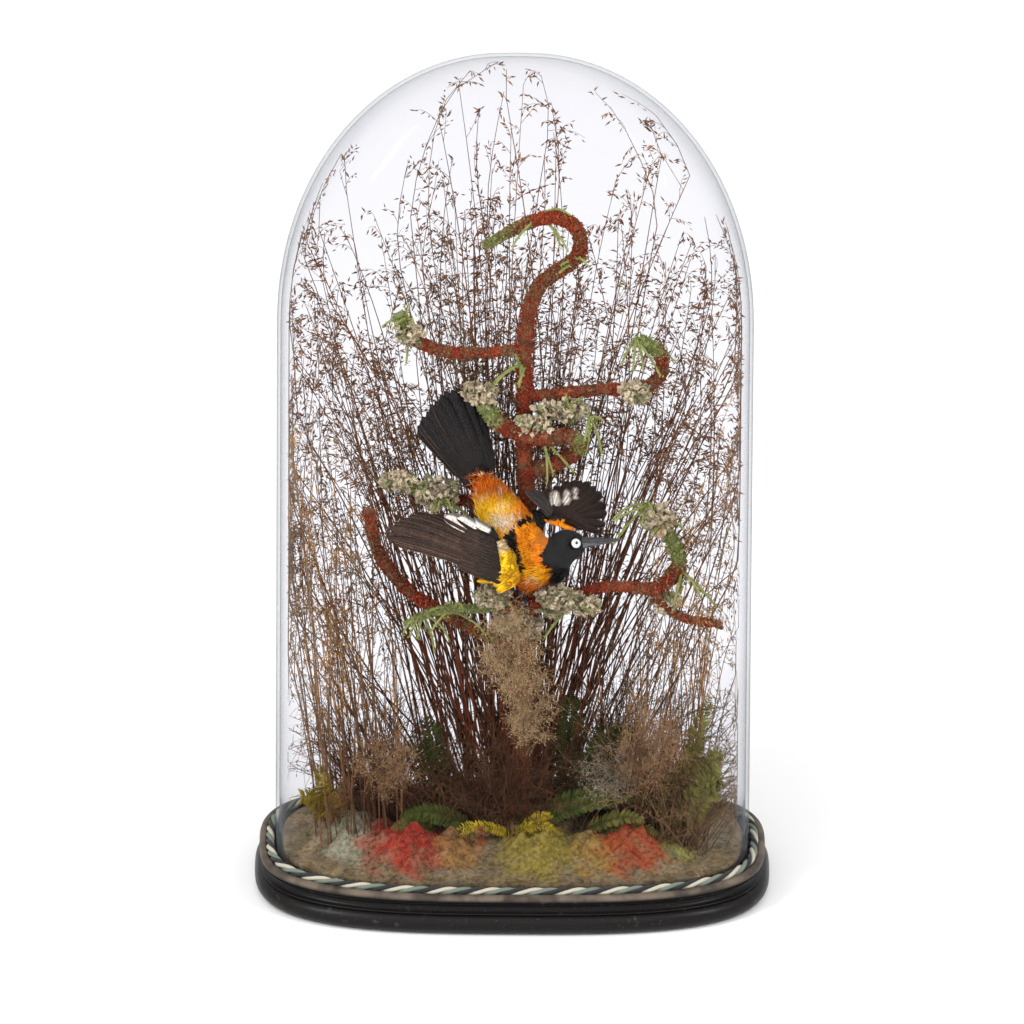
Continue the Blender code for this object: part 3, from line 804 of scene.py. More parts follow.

# %% [markdown]
# ## The glass dome
# The dome is blown glass, about 3 mm thick. Its walls rise straight and close in over a rounded
# crown. Clear glass is almost invisible face on and mirrors the lamps at a slant, so the shader
# mixes clear and shiny by the angle. Near the outline a dark grey matte layer is also mixed in by the angle.
# This draws the thin grey edge as a painted dark edge, standing in for the darker surroundings that the thick
# glass bends and mirrors there.

# %% The glass finish
def glass_finish():
    """Clear from the front, grey and glossy where the surface turns away."""
    made = Finish("clear_glass", 0.03, Metallic=1.0, Base_Color=(1.0, 1.0, 1.0))
    facing = made.node("LayerWeight", {"Blend": 0.5}, out=1)
    clear = made.node("BsdfTransparent", {0: (0.962, 0.962, 0.974)})
    # Painted dark edge: this grey matte layer, mixed in near the outline, stands in for the dark surroundings
    # seen in the glass there.
    edge = made.node("BsdfDiffuse", {0: (0.10, 0.12, 0.135)})
    gloss = Wire(made.tree, made.shader.outputs[0])
    rim = made.node("MixShader", {0: (facing ** 4.0) * 0.34 + (facing ** 16.0) * 0.50, 1: clear, 2: edge})
    whole = made.node("MixShader", {0: (facing ** 3.0) * 0.12 + 0.0014, 1: rim, 2: gloss})
    join(made.tree, made.tree.nodes["Material Output"].inputs[0], whole)
    made.bump(made.noise(9.0, 1.0), 0.12, 0.004)
    return made


clear_glass = glass_finish()

# %% Blow the dome
GLASS_HALF = (0.1985, 0.0970)
GLASS_WALL = 0.0030
GLASS_FOOT = 0.0273
GLASS_SHOULDER = 0.510
GLASS_TOP = 0.754
GLASS_STEPS = 136


def dome_rows(inset):
    """Rows from the foot up over the crown, for a surface this far inside the outer one."""
    ring = oval(GLASS_HALF[0] - inset, GLASS_HALF[1] - inset, GLASS_STEPS)
    rows = [np.column_stack([ring, np.full(GLASS_STEPS, z)])
            for z in np.linspace(GLASS_FOOT, GLASS_SHOULDER, 12)]
    for lean in np.linspace(0, math.pi / 2, 40)[1:-1]:
        height = GLASS_SHOULDER + (GLASS_TOP - GLASS_SHOULDER - inset) * math.sin(lean)
        rows.append(np.column_stack([ring * math.cos(lean), np.full(GLASS_STEPS, height)]))
    return rows, GLASS_TOP - inset


def blow_dome():
    outer, outer_top = dome_rows(0)
    inner, inner_top = dome_rows(GLASS_WALL)
    points = np.vstack(list(reversed(inner)) + outer)
    rows = len(inner) + len(outer)
    faces = rows_to_faces(rows, GLASS_STEPS)
    points = np.vstack([points, (0, 0, inner_top), (0, 0, outer_top)])
    last = (rows - 1) * GLASS_STEPS
    for step in range(GLASS_STEPS):
        after = (step + 1) % GLASS_STEPS
        faces.append((after, step, rows * GLASS_STEPS))
        faces.append((last + step, last + after, rows * GLASS_STEPS + 1))
    dome = new_piece("glass_shell", points, faces, clear_glass, body="dome", slot="clear_glass")
    return face_outwards(dome)


dome = blow_dome()
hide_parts("dome_glass")
print("dome stands", GLASS_TOP, "m high")

# %% [markdown]
# ## The wire tree
# The tree is wire bound with rag and dipped in glue and coloured flock, a powder of cut wool. It is
# rust red over most of its length, and the ends of the branches are dabbed with moss green. A smooth
# tube follows each wire, and thousands of small grains stand on it, because flock is knobbly
# and soft and no two dabs are alike.

# %% Wires of the tree
TRUNK = (
    (6, 8, 34), (8, 10, 150), (12, 12, 260), (9, 12, 370), (7, 11, 450), (9, 10, 529), (27, 8, 552),
    (52, 5, 566), (56, 2, 588), (46, 0, 606), (26, -2, 611), (4, 0, 601), (-26, 2, 581),
)
TRUNK_WIDTHS = (8.5, 8, 7.5, 7.2, 6.6, 6, 5.8, 5.6, 5.4, 5.2, 5, 4.5, 3)
PERCH = (
    (10, 12, 226), (4, 2, 246), (-14, -20, 262), (0, -31.6, 267), (14, -31.6, 268.8), (28, -31.6, 270.4),
    (42, -31.6, 272), (66, -30, 283), (92, -27, 284), (116, -20, 274), (136, -14, 286), (140, -10, 300),
    (131, -6, 318), (118, -4, 334),
)
PERCH_WIDTHS = (5, 5, 4.7, 4.5, 4.5, 4.5, 4.5, 4.3, 4.2, 5, 6.2, 6, 5.4, 4)
BRANCHES = {
    "branch_loop": (((9, 10, 368), (28, 2, 379), (46, -6, 391), (58, -10, 405), (46, -13, 416),
                     (28, -12, 410),
                     (9, -9, 412), (-8, -9, 418), (-20, -7, 430), (-30, -6, 446)), 6, 7),
    "branch_left_high": (((8, 10, 484), (-32, 8, 478), (-66, 6, 482), (-88, 4, 496), (-97, 2, 518)), 4.5, 5),
    "branch_left_middle": (((10, 12, 330), (-16, 14, 336), (-48, 8, 345), (-72, 2, 356), (-98, -2, 362)),
                           5, 4),
    "branch_left_low": (((8, 10, 205), (-46, 6, 232), (-86, -2, 262), (-107, -8, 290), (-118, -10, 314),
                         (-121, -10, 343)), 5, 4.5),
    "branch_left_fork": (((-5, -20, 261), (-36, -30, 262), (-60, -32, 263), (-76, -33, 258),
                          (-91, -34, 249)), 4, 2.6),
    "branch_right_high": (((9, 12, 440), (40, 9, 441), (70, 6, 450), (96, 2, 449), (118, 0, 456),
                           (125, 0, 472),
                           (119, -2, 490), (104, -3, 498)), 5, 5),
    "branch_right_low": (((117, -20, 277), (126, -18, 258), (146, -16, 246), (164, -14, 244),
                          (174, -12, 240)), 4, 2.4),
}


def smooth_line(points, count):
    """A cubic B-spline through the ends and near the points between, as points and shares of the way."""
    control = np.asarray(points, float)
    control = np.vstack([2 * control[0] - control[1], control, 2 * control[-1] - control[-2]])
    spans = len(control) - 3
    share = np.linspace(0, spans, count)
    cell = np.minimum(share.astype(int), spans - 1)
    t = (share - cell)[:, None]
    a, b, c, d = (control[cell + k] for k in range(4))
    line = ((1 - t) ** 3 * a + (3 * t ** 3 - 6 * t ** 2 + 4) * b + (-3 * t ** 3 + 3 * t ** 2 + 3 * t + 1)
            * c + t ** 3 * d) / 6
    return line, share / spans


def wire_line(points, widths, count):
    line, share = smooth_line(points, count)
    width = np.interp(share, np.linspace(0, 1, len(widths)), widths)
    return line * MM, width * MM


wires = {"tree_trunk": wire_line(TRUNK, TRUNK_WIDTHS, 120),
         "branch_perch": wire_line(PERCH, PERCH_WIDTHS, 110)}
for branch, (points, first, last) in BRANCHES.items():
    wires[branch] = wire_line(points, (first, last), 60)

RUST = np.array((0.26, 0.030, 0.012))
BRIGHT_RUST = np.array((0.50, 0.105, 0.045))
MOSS = np.array((0.17, 0.21, 0.05))
PALE_MOSS = np.array((0.40, 0.43, 0.17))
EARTHY = np.array((0.20, 0.095, 0.045))


def flock_colour(name, share, count, pick):
    """Colours of the dabs along a wire. share runs from 0 at its root to 1 at its tip."""
    dab = np.interp(share, np.linspace(0, 1, 9), pick.uniform(0, 1, 9))
    colour = RUST + (BRIGHT_RUST - RUST) * (dab * pick.uniform(0.2, 1.2, count))[:, None]
    bare = np.interp(share, np.linspace(0, 1, 14), pick.uniform(-0.3, 1.1, 14)) > pick.uniform(0, 1, count)
    colour = np.where(bare[:, None], EARTHY * pick.uniform(0.7, 1.7, (count, 1)), colour)
    mossy = {"branch_left_fork": 1.0, "branch_loop": 0.55, "branch_left_high": 0.35, "branch_right_low": 0.0,
             "tree_trunk": 0.12, "branch_perch": 0.30, "branch_left_low": 0.25}.get(name, 0.25)
    green = np.clip((share - (1 - mossy)) / 0.12, 0, 1) if mossy else np.zeros(count)
    if name == "branch_perch":
        green = np.clip((share - 0.80) / 0.05, 0, 1) + np.clip(0.22 - share, 0, 0.2) * 3
    if name == "branch_left_low":
        green = np.clip(0.35 - share, 0, 1) * 1.5
    if name == "branch_loop":
        green = np.clip((share - 0.80) / 0.1, 0, 1) + np.where((share > 0.28) & (share < 0.42), 0.7, 0)
    green = np.clip(green, 0, 1) > pick.uniform(0, 1, count)
    paleness = 0.7 if name == "branch_left_fork" else 1.4
    leafy = MOSS + (PALE_MOSS - MOSS) * pick.uniform(0, 1, count)[:, None] ** paleness
    colour = np.where(green[:, None], leafy, colour)
    if name == "tree_trunk":
        low = np.clip((0.22 - share) / 0.1, 0, 1)[:, None] * 0.7
        colour = colour * (1 - low) + EARTHY * low
    return colour * pick.uniform(0.75, 1.25, (count, 1))


def flock_finish():
    made = Finish("flock", 1.0, Specular_IOR_Level=0.1)
    fuzz = made.noise(1800.0, 3.0)
    shade = made.mix(fuzz.step(0.3, 0.7), (0.42, 0.42, 0.42), (1.35, 1.35, 1.35))
    made.set(Base_Color=made.mix(1.0, made.attribute("tint"), shade, "MULTIPLY"))
    made.bump(fuzz + made.noise(500.0), 1.0, 0.0008)
    return made


flock = flock_finish()


def lump(seed, rows=3, sides=3):
    """A small rough ball for flock, moss and crumbs."""
    pick = np.random.default_rng(seed)
    points = [(0, 0, -1.0)]
    for row in range(1, rows):
        angle = math.pi * row / rows
        for side in range(sides):
            turn = 2 * math.pi * (side + 0.5 * (row % 2)) / sides
            size = pick.uniform(0.75, 1.15)
            points.append((math.sin(angle) * math.cos(turn) * size, math.sin(angle) * math.sin(turn) * size,
                           -math.cos(angle) * size))
    points.append((0, 0, 1.0))
    faces = []
    for side in range(sides):
        after = (side + 1) % sides
        faces.append((0, 1 + after, 1 + side))
        for row in range(rows - 2):
            low = 1 + row * sides
            faces.append((low + side, low + after, low + sides + after, low + sides + side))
        low = 1 + (rows - 2) * sides
        faces.append((low + side, low + after, len(points) - 1))
    return points, faces


crumb = hidden_source("crumb", *lump(5))

# %% Dress the wires
wire_paths = [line for line, width in wires.values()]
wire_sizes = [width * 0.93 for line, width in wires.values()]
wire_tints = [flock_colour(name, np.linspace(0, 1, len(line)), len(line), np.random.default_rng(7)) * 0.8
              for name, (line, width) in wires.items()]
tree = tubes("tree_wires", wire_paths, wire_sizes, wire_tints, flock, 12)
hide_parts(*wires)


def across(directions, pick):
    """Random directions at right angles to the given ones."""
    wild = pick.normal(size=directions.shape)
    wild -= directions * np.sum(wild * directions, 1, keepdims=True)
    return unit(wild)


grain_places, grain_lie, grain_out, grain_size, grain_tint = [], [], [], [], []
for index, (name, (line, width)) in enumerate(wires.items()):
    pick = np.random.default_rng(30 + index)
    run = np.linalg.norm(np.diff(line, axis=0), axis=1).sum()
    count = int(run / MM * 8.5)
    share = pick.uniform(0, 1, count)
    spot = share * (len(line) - 1)
    cell = np.minimum(spot.astype(int), len(line) - 2)
    where = line[cell] + (line[cell + 1] - line[cell]) * (spot - cell)[:, None]
    forward = unit(line[cell + 1] - line[cell])
    side = across(forward, pick)
    radius = width[cell] * pick.uniform(0.86, 1.06, count)
    grain_places.append(where + side * radius[:, None])
    grain_lie.append(forward)
    grain_out.append(side)
    flat = pick.uniform(0.0008, 0.0018, (count, 1))
    grain_size.append(flat * pick.uniform(0.7, 1.2, (count, 3)))
    grain_tint.append(flock_colour(name, share, count, pick))
planted("flock_grains", crumb, np.vstack(grain_places), np.vstack(grain_lie), np.vstack(grain_out),
        np.vstack(grain_size), np.vstack(grain_tint), flock, spread=3.0, seed=3)

# %% [markdown]
# ## Lichen and moss
# Tufts of real lichen are glued along the tree, grey-cream and crisp, and sprigs of pale green
# moss hang from them. A curled lobe is shaped once and set hundreds of times over each tuft, and a
# small dark ball fills the middle so that no gaps show. Its dark colour is painted shade between the lobes.

# %% Lichen tufts
LICHENS = {
    "lichen_1": ((57, -36, 270), (14, 9, 8)),
    "lichen_2": ((-66, 0, 356), (18, 10, 12)),
    "lichen_3": ((40, 3, 431), (24, 9, 8)),
    "lichen_4": ((-30, -6, 449), (12, 9, 9)),
    "lichen_5": ((120, -8, 336), (13, 9, 13)),
    "lichen_6": ((8, -6, 234), (16, 10, 9)),
}


def lichen_finish():
    made = Finish("lichen", 0.95)
    spots = made.noise(900.0, 4.0)
    shade = made.mix(spots.step(0.3, 0.65), (0.42, 0.38, 0.32), (1.2, 1.2, 1.2))
    made.set(Base_Color=made.mix(1.0, made.attribute("tint"), shade, "MULTIPLY"))
    made.bump(spots, 0.7, 0.0006)
    return made


lichen = lichen_finish()


def lobe():
    """A curled leaf of lichen, a thick closed sheet with a ragged edge."""
    points = []
    for layer in (0.0, -0.10):
        for row in range(4):
            for column in range(5):
                across_it = (column - 2) / 2
                width = (0.25, 0.62, 0.75, 0.42)[row] * (1 + 0.25 * ((column + row) % 2))
                lift = 0.45 * across_it ** 2 + 0.35 * (row / 3) ** 2
                points.append((across_it * width * 0.8, row / 3, lift + layer))
    faces = []
    for row in range(3):
        for column in range(4):
            a = row * 5 + column
            faces.append((a, a + 1, a + 6, a + 5))
            faces.append((a + 20, a + 25, a + 26, a + 21))
    rim = [0, 1, 2, 3, 4, 9, 14, 19, 18, 17, 16, 15, 10, 5]
    for k, a in enumerate(rim):
        b = rim[(k + 1) % len(rim)]
        faces.append((b, a, a + 20, b + 20))
    return points, faces


lobe_piece = hidden_source("lobe", *lobe())


def scatter_on_balls(balls, each, seed):
    """Places and outward directions all over a set of stretched balls."""
    pick = np.random.default_rng(seed)
    places, outs = [], []
    for middle, half in balls:
        outward = unit(pick.normal(size=(each, 3)))
        places.append((np.array(middle) + outward * np.array(half) * pick.uniform(0.75, 1.0, (each, 1))) * MM)
        outs.append(outward)
    return np.vstack(places), np.vstack(outs), pick


def lichen_cores():
    points, faces = [], []
    for number, (middle, half) in enumerate(LICHENS.values()):
        shape, mesh = lump(40 + number, 7, 10)
        start = len(points)
        points.extend(np.array(middle) * MM + np.array(p) * np.array(half) * 0.72 * MM for p in shape)
        faces.extend(tuple(start + i for i in face) for face in mesh)
    # The cores' dark brown-grey is painted shade in the gaps between the lobes.
    return new_piece("lichen_cores", points, faces, lichen, slot="lichen", tint=np.array((0.22, 0.18, 0.13)))


cores = lichen_cores()
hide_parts(*LICHENS)
MORE_LICHEN = (((-4, -14, 245), (13, 8, 6)), ((30, -24, 262), (12, 6, 5)), ((-98, -2, 366), (12, 8, 6)),
               ((100, -6, 452), (10, 7, 6)), ((-88, 2, 500), (9, 6, 8)), ((14, -6, 420), (15, 7, 7)),
               ((128, -14, 262), (8, 6, 6)), ((-17, -41, 279), (13, 6, 7)), ((35, -41, 280), (14, 6, 7)))
lobes, lobe_out, pick = scatter_on_balls(list(LICHENS.values()) + list(MORE_LICHEN), 150, 50)
cream = np.array((0.56, 0.47, 0.31)) + pick.uniform(-1, 1, (len(lobes), 1)) * np.array((0.16, 0.15, 0.12))
greenish = pick.uniform(0, 1, len(lobes)) < 0.18
cream[greenish] = np.array((0.26, 0.27, 0.12)) * pick.uniform(0.8, 1.3, (greenish.sum(), 1))
planted("lichen_lobes", lobe_piece, lobes, lobe_out + pick.normal(size=lobes.shape) * 0.7,
        pick.normal(size=lobes.shape), pick.uniform(0.0028, 0.0066, len(lobes)), cream, lichen,
        spread=3.0, seed=5)

# %% [markdown]
# ## The bird's skin
# A mounted bird is a real skin drawn over a form of wood wool. Here copies of the solid trunk, neck,
# head and wing arms are fused into one closed skin, smoothed, and taken in by the depth of the
# plumage. Fusing with a fine voxel grid leaves no seam where the neck meets the breast.

# %% Fuse the skin
SKIN_NODES = ("bird_trunk", "bird_neck", "bird_head", "wing_arm_left", "wing_arm_right")


def fused_skin():
    form = bmesh.new()
    for name in SKIN_NODES:
        copy = nodes[name].data.copy()
        copy.transform(nodes[name].matrix_world)
        form.from_mesh(copy)
        bpy.data.meshes.remove(copy)
    mesh = bpy.data.meshes.new("bird_skin")
    bmesh.ops.remove_doubles(form, verts=form.verts, dist=1e-6)
    form.to_mesh(mesh)
    form.free()
    obj = bpy.data.objects.new("bird_skin", mesh)
    SCENE.collection.objects.link(obj)
    fuse = obj.modifiers.new("fuse", "REMESH")
    fuse.mode = "VOXEL"
    fuse.voxel_size = 0.0011
    soften = obj.modifiers.new("soften", "SMOOTH")
    soften.factor = 0.5
    soften.iterations = 14
    take_in = obj.modifiers.new("take in", "DISPLACE")
    take_in.mid_level = 0.0
    take_in.strength = -0.0012
    graph = bpy.context.evaluated_depsgraph_get()
    graph.update()
    made = bpy.data.meshes.new_from_object(obj.evaluated_get(graph), depsgraph=graph)
    obj.modifiers.clear()
    obj.data = made
    bpy.data.meshes.remove(mesh)
    return obj


skin = fused_skin()


def point_values(mesh, key):
    values = np.empty(len(mesh.vertices) * 3, np.float32)
    mesh.vertices.foreach_get(key, values)
    return values.reshape(-1, 3).astype(float)


skin_points = point_values(skin.data, "co")
skin_normals = point_values(skin.data, "normal")
print("skin of", len(skin.data.polygons), "faces")

# %% [markdown]
# ## Markings
# A troupial has a black hood and mantle, with an orange collar between them, an orange rump that
# pales to yellow and white, and a yellow patch at the bend of the wing. The borders are easiest to
# set on a plane that leans back with the bird. One function gives the colour for the skin and
# for every feather on it, so the two always agree.

# %% Colours of the plumage
LEAN = np.array((0.0, math.sin(VIEW_DOWN), math.cos(VIEW_DOWN)))
SIDE = np.array((0.0, -math.cos(VIEW_DOWN), math.sin(VIEW_DOWN)))
BLACK = np.array((0.0070, 0.0062, 0.0060))
ORANGE = np.array((0.86, 0.235, 0.008))
FLAME = np.array((0.62, 0.095, 0.006))
AMBER = np.array((0.93, 0.40, 0.008))
YELLOW = np.array((0.94, 0.56, 0.012))
PALE = np.array((0.90, 0.80, 0.60))


def leaning(points):
    """Millimetres across the bird and up the plane that leans back with it."""
    return points[:, 0] / MM, points @ LEAN / MM


def oval_spot(x, up, middle, half, soft=0.35):
    away = np.hypot((x - middle[0]) / half[0], (up - middle[1]) / half[1])
    return np.clip((1 + soft - away) / (2 * soft), 0, 1)


def over(colour, paint, share):
    return colour + (paint - colour) * share[:, None]


def plumage(points, normals, pick=None):
    """The colour of the coat at each point."""
    x, up = leaning(points)
    if pick is not None:
        x = x + pick.normal(0, 0.7, len(x))
        up = up + pick.normal(0, 0.7, len(x))
    facing = normals @ SIDE
    far = points[:, 1] > -0.034
    rump_edge = np.interp(x, (-40, -9, -3, 3, 12, 20), (284, 284, 291, 298, 302, 304))
    left = np.interp(up, (244, 252, 256, 266, 277, 288, 293), (4, 8, 8.2, 5.4, 2.4, 2.2, 4))
    top = np.interp(x, (2, 10, 18.5, 26, 33), (291, 295, 296.6, 295.5, 291.5))
    hood = np.interp(up, (238, 242, 247, 250, 253, 259.5, 263, 271, 277, 282, 290, 297),
                     (29, 25, 21, 27, 30, 28, 24, 22.8, 26, 28.6, 28, 32))
    colour = np.tile(FLAME, (len(x), 1))
    colour = over(colour, ORANGE, np.clip((up - 242) / 8, 0, 1))
    rump = up > rump_edge
    warm = over(np.tile(AMBER, (len(x), 1)), ORANGE * 0.9, np.clip((up - 308) / 9, 0, 1))
    warm = over(warm, FLAME, oval_spot(x, up, (-26, 322), (7, 10)) * 0.5)
    if pick is not None:
        warm = over(warm, PALE, (pick.uniform(size=len(x)) < 0.18) * 0.6)
        warm = over(warm, FLAME, (pick.uniform(size=len(x)) < 0.24) * 0.75)
    warm = over(warm, YELLOW, oval_spot(x, up, (-24, 300), (15, 15)))
    warm = over(warm, YELLOW, oval_spot(x, up, (-6, 310), (9, 7)) * 0.7)
    warm = over(warm, PALE, oval_spot(x, up, (-10, 296), (9, 5)) * 0.85)
    warm = over(warm, PALE, oval_spot(x, up, (-12, 307), (4, 4)) * 0.5)
    warm = over(warm, ORANGE, oval_spot(x, up, (8, 309), (7, 9)) * 0.8)
    warm = over(warm, BLACK, np.clip((up - 337 + 0.25 * np.abs(x + 18)) / 2.5, 0, 1))
    colour = np.where(rump[:, None], warm, colour)
    collar = (x > left + 0.8) & (up < top) & (x < hood) & (up > 250) & ~rump
    glow = over(np.tile(ORANGE, (len(x), 1)), AMBER, np.clip((up - 282) / 10, 0, 1) * 0.4)
    glow = over(glow, YELLOW, oval_spot(x, up, (15, 256), (12, 5)) * 0.75)
    glow = over(glow, AMBER, oval_spot(x, up, (10, 268), (6, 14)) * 0.5)
    glow = over(glow, PALE, oval_spot(x, up, (17, 251), (5, 2)) * 0.8)
    glow = over(glow, FLAME, oval_spot(x, up, (20, 274), (5, 9)) * 0.25)
    if pick is not None:
        glow = over(glow, AMBER, (pick.uniform(size=len(x)) < 0.22) * 0.8)
        glow = over(glow, FLAME, (pick.uniform(size=len(x)) < 0.18) * 0.6)
    colour = np.where(collar[:, None], glow, colour)
    mantle = ~rump & ~collar & (facing > -0.25) & ((up > 255) | (x < -4)) & (x < hood)
    colour = np.where(mantle[:, None], BLACK, colour)
    shoulder = near_shoulder(x, up) & (points[:, 1] < -0.047)
    bright = over(np.tile(YELLOW, (len(x), 1)), PALE, oval_spot(x, up, (-9, 279), (6, 4)) * 0.4)
    bright = over(bright, AMBER, oval_spot(x, up, (4, 250), (5, 7)) * 0.5)
    colour = np.where(shoulder[:, None], bright, colour)
    colour = np.where(((x >= hood) & ~far)[:, None], BLACK, colour)
    wing_root = far & (up > 291)
    colour = np.where((wing_root & (x > 14))[:, None], BLACK * 1.6, colour)
    rooted = wing_root & (oval_spot(x, up, (37, 296), (12, 4.5), 0.2) > 0.5)
    return np.where(rooted[:, None], AMBER, colour)


def near_shoulder(x, up):
    """The yellow patch at the bend of the near wing."""
    low = np.interp(up, (244, 253, 262, 272, 282.5), (-4, -10.4, -12.8, -10.4, -15))
    high = np.interp(up, (244, 247, 253, 261.6, 273.4, 282.5), (-3, 4, 7.4, 2.4, -0.8, -8))
    return (up > 244) & (up < 282.5) & (x > low) & (x < high)


def plume_finish(name, streak=9.0, gloss=0.6):
    """Soft barbs: fine streaks along each feather, and painted shade that darkens its root, where the feather
    above covers it.
    """
    made = Finish(name, gloss, Specular_IOR_Level=0.10)
    vane = made.attribute("vane", out=1)
    along = made.node("SeparateXYZ", {0: vane}, out=1)
    stretched = made.node("Mapping", {0: vane, 3: (streak, 2.2, 1.0)})
    shifted = made.node("VectorMath", {0: stretched, 1: made.node("VectorMath", {0: made.place(), 3: 60.0},
                                       operation="SCALE")}, operation="ADD")
    barbs = made.noise(1.0, 4.0, shifted)
    shade = made.mix(barbs.step(0.28, 0.68), (0.42, 0.36, 0.32), (1.45, 1.45, 1.45))
    tint = made.mix(1.0, made.attribute("tint"), shade, "MULTIPLY")
    # Painted shade: each feather is darker towards its root, as if shaded by the feathers that overlap it.
    root = made.mix(along.step(0.0, 0.6), (0.50, 0.44, 0.40), (1.1, 1.1, 1.1))
    made.set(Base_Color=made.mix(1.0, tint, root, "MULTIPLY"))
    made.bump(barbs, 0.9, 0.0008)
    return made


plume = plume_finish("plumage")


def hide_finish():
    made = Finish("bird_hide", 0.9)
    down = made.noise(1400.0, 4.0)
    shade = made.mix(down, (0.35, 0.35, 0.35), (0.95, 0.95, 0.95))
    made.set(Base_Color=made.mix(1.0, made.attribute("tint"), shade, "MULTIPLY"))
    made.bump(down, 0.8, 0.0006)
    return made


hide = hide_finish()
store_colour(skin.data, plumage(skin_points, skin_normals))
skin.data.materials.clear()
skin.data.materials.append(hide.material)
skin.data.polygons.foreach_set("use_smooth", [True] * len(skin.data.polygons))
settle(skin, "base")
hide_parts(*SKIN_NODES)

# %% [markdown]
# ## The way the feathers lie
# Contour feathers lie like tiles, from the bill back over the head and neck and down the trunk to the
# tail. A bent line through the body gives that direction at each point, and the distance along it
# and round it gives the unwrap. Each feather starts at a point on the skin and lifts a little.

# %% The body's line
BODY_LINE = np.array((
    (58, -52.5, 334), (43.5, -50, 330.5), (33, -48, 325), (22, -45, 318), (12, -40, 314), (2, -32, 327),
    (-12, -24, 350), (-26, -14, 372), (-34, -10, 388),
)) * MM


def along_body(points):
    """For each point: metres along the body from the bill, the way the line runs and its nearest spot."""
    starts, ends = BODY_LINE[:-1], BODY_LINE[1:]
    pieces = ends - starts
    lengths = np.linalg.norm(pieces, axis=1)
    offset = points[:, None] - starts[None]
    share = np.clip(np.sum(offset * pieces, 2) / lengths ** 2, 0, 1)
    spots = starts[None] + pieces[None] * share[..., None]
    away = np.linalg.norm(points[:, None] - spots, axis=2)
    weight = 1 / (away + 0.002) ** 5
    flow = unit(np.einsum("pk,kd->pd", weight, pieces / lengths[:, None]))
    nearest = away.argmin(1)
    rows = np.arange(len(points))
    run = np.concatenate([[0], np.cumsum(lengths)])[nearest] + share[rows, nearest] * lengths[nearest]
    return run, flow, spots[rows, nearest]


BODY_LENGTH = float(np.linalg.norm(np.diff(BODY_LINE, axis=0), axis=1).sum())


def unwrap(points):
    """Places on the skin's own map: along the body and round it."""
    run, flow, spot = along_body(points)
    outward = points - spot
    angle = np.arctan2(outward @ SIDE, outward @ LEAN)
    return np.column_stack([run / BODY_LENGTH * 0.98, (angle / (2 * math.pi) + 0.5) * 0.98])


store_uv(skin.data, "OFBake", unwrap(skin_points))


def skin_triangles():
    skin.data.calc_loop_triangles()
    corners = np.empty(len(skin.data.loop_triangles) * 3, np.int32)
    skin.data.loop_triangles.foreach_get("vertices", corners)
    return corners.reshape(-1, 3)


TRIANGLES = skin_triangles()


def spread_over_skin(count, seed, wanted):
    """Points spread evenly by area over the part of the skin where wanted gives true."""
    pick = np.random.default_rng(seed)
    corners = skin_points[TRIANGLES]
    middles = corners.mean(1)
    area = np.linalg.norm(np.cross(corners[:, 1] - corners[:, 0], corners[:, 2] - corners[:, 0]), axis=1)
    area = area * wanted(middles)
    chosen = pick.choice(len(TRIANGLES), count * 5, p=area / area.sum())
    mix = pick.dirichlet((1, 1, 1), count * 5)
    spots = np.einsum("nk,nkd->nd", mix, corners[chosen])
    normals = unit(np.einsum("nk,nkd->nd", mix, skin_normals[TRIANGLES[chosen]]))
    gap = math.sqrt(area.sum() / 2 / count) * 0.62
    cells = {}
    kept = []
    for index, cell in enumerate(map(tuple, np.floor(spots / gap).astype(int))):
        near = [cells.get((cell[0] + a, cell[1] + b, cell[2] + c)) for a in (-1, 0, 1) for b in (-1, 0, 1)
                for c in (-1, 0, 1)]
        if all(other is None or np.linalg.norm(spots[other] - spots[index]) > gap for other in near):
            cells[cell] = index
            kept.append(index)
        if len(kept) == count:
            break
    return spots[kept], normals[kept], pick


# %% Shapes of contour feathers
def leaf_vane(columns=5, rows=3, ragged=0.12, curl=0.16, wide=0.30, thick=0.035):
    """A small contour feather of unit length along +Y: a thin closed sheet with a ragged tip."""
    points = []
    for layer in (thick, 0.0):
        for row in range(rows):
            along_it = row / (rows - 1)
            for column in range(columns):
                side = 2 * column / (columns - 1) - 1
                width = wide * (0.30, 1.0, 0.72)[row] if rows == 3 else wide * math.sin(0.4 + along_it * 2.2)
                reach = along_it * (1 - 0.22 * side ** 2 - ragged * (column % 2) * (row == rows - 1))
                points.append((side * width, reach,
                               layer + curl * along_it ** 2 * -1 - 0.18 * wide * side ** 2))
    uv = [(x / wide * 0.5, y) for x, y, z in points]
    return points, sheet_faces(rows, columns), uv


def wisp(strands=6, fan=0.34, thick=0.030, seed=4):
    """A loose plume of unit length: narrow barbs that fan out from one root."""
    pick = np.random.default_rng(seed)
    points, faces = [], []
    for strand in range(strands):
        lean = fan * (2 * strand / (strands - 1) - 1) + pick.normal(0, 0.05)
        reach = pick.uniform(0.75, 1.0)
        lift = pick.uniform(-0.05, 0.10)
        start = len(points)
        for along_it, share in ((0.0, 0.8), (0.5, 1.0)):
            for corner in range(3):
                angle = 2 * math.pi * corner / 3 + 0.5
                points.append((math.sin(lean) * along_it * reach + math.cos(angle) * thick * share * 1.5,
                               along_it * reach,
                               lift * along_it - 0.10 * along_it ** 2 + math.sin(angle) * thick * share
                               * 0.6))
        points.append((math.sin(lean) * reach * 1.15, reach, lift - 0.14))
        faces.append((start, start + 1, start + 2))
        for corner in range(3):
            after = (corner + 1) % 3
            faces.append((start + corner, start + 3 + corner, start + 3 + after, start + after))
            faces.append((start + 3 + corner, start + 6, start + 3 + after))
    uv = [(x, y) for x, y, z in points]
    return points, faces, uv


vane_piece = hidden_source("vane", *leaf_vane())
wisp_piece = hidden_source("wisp", *wisp())


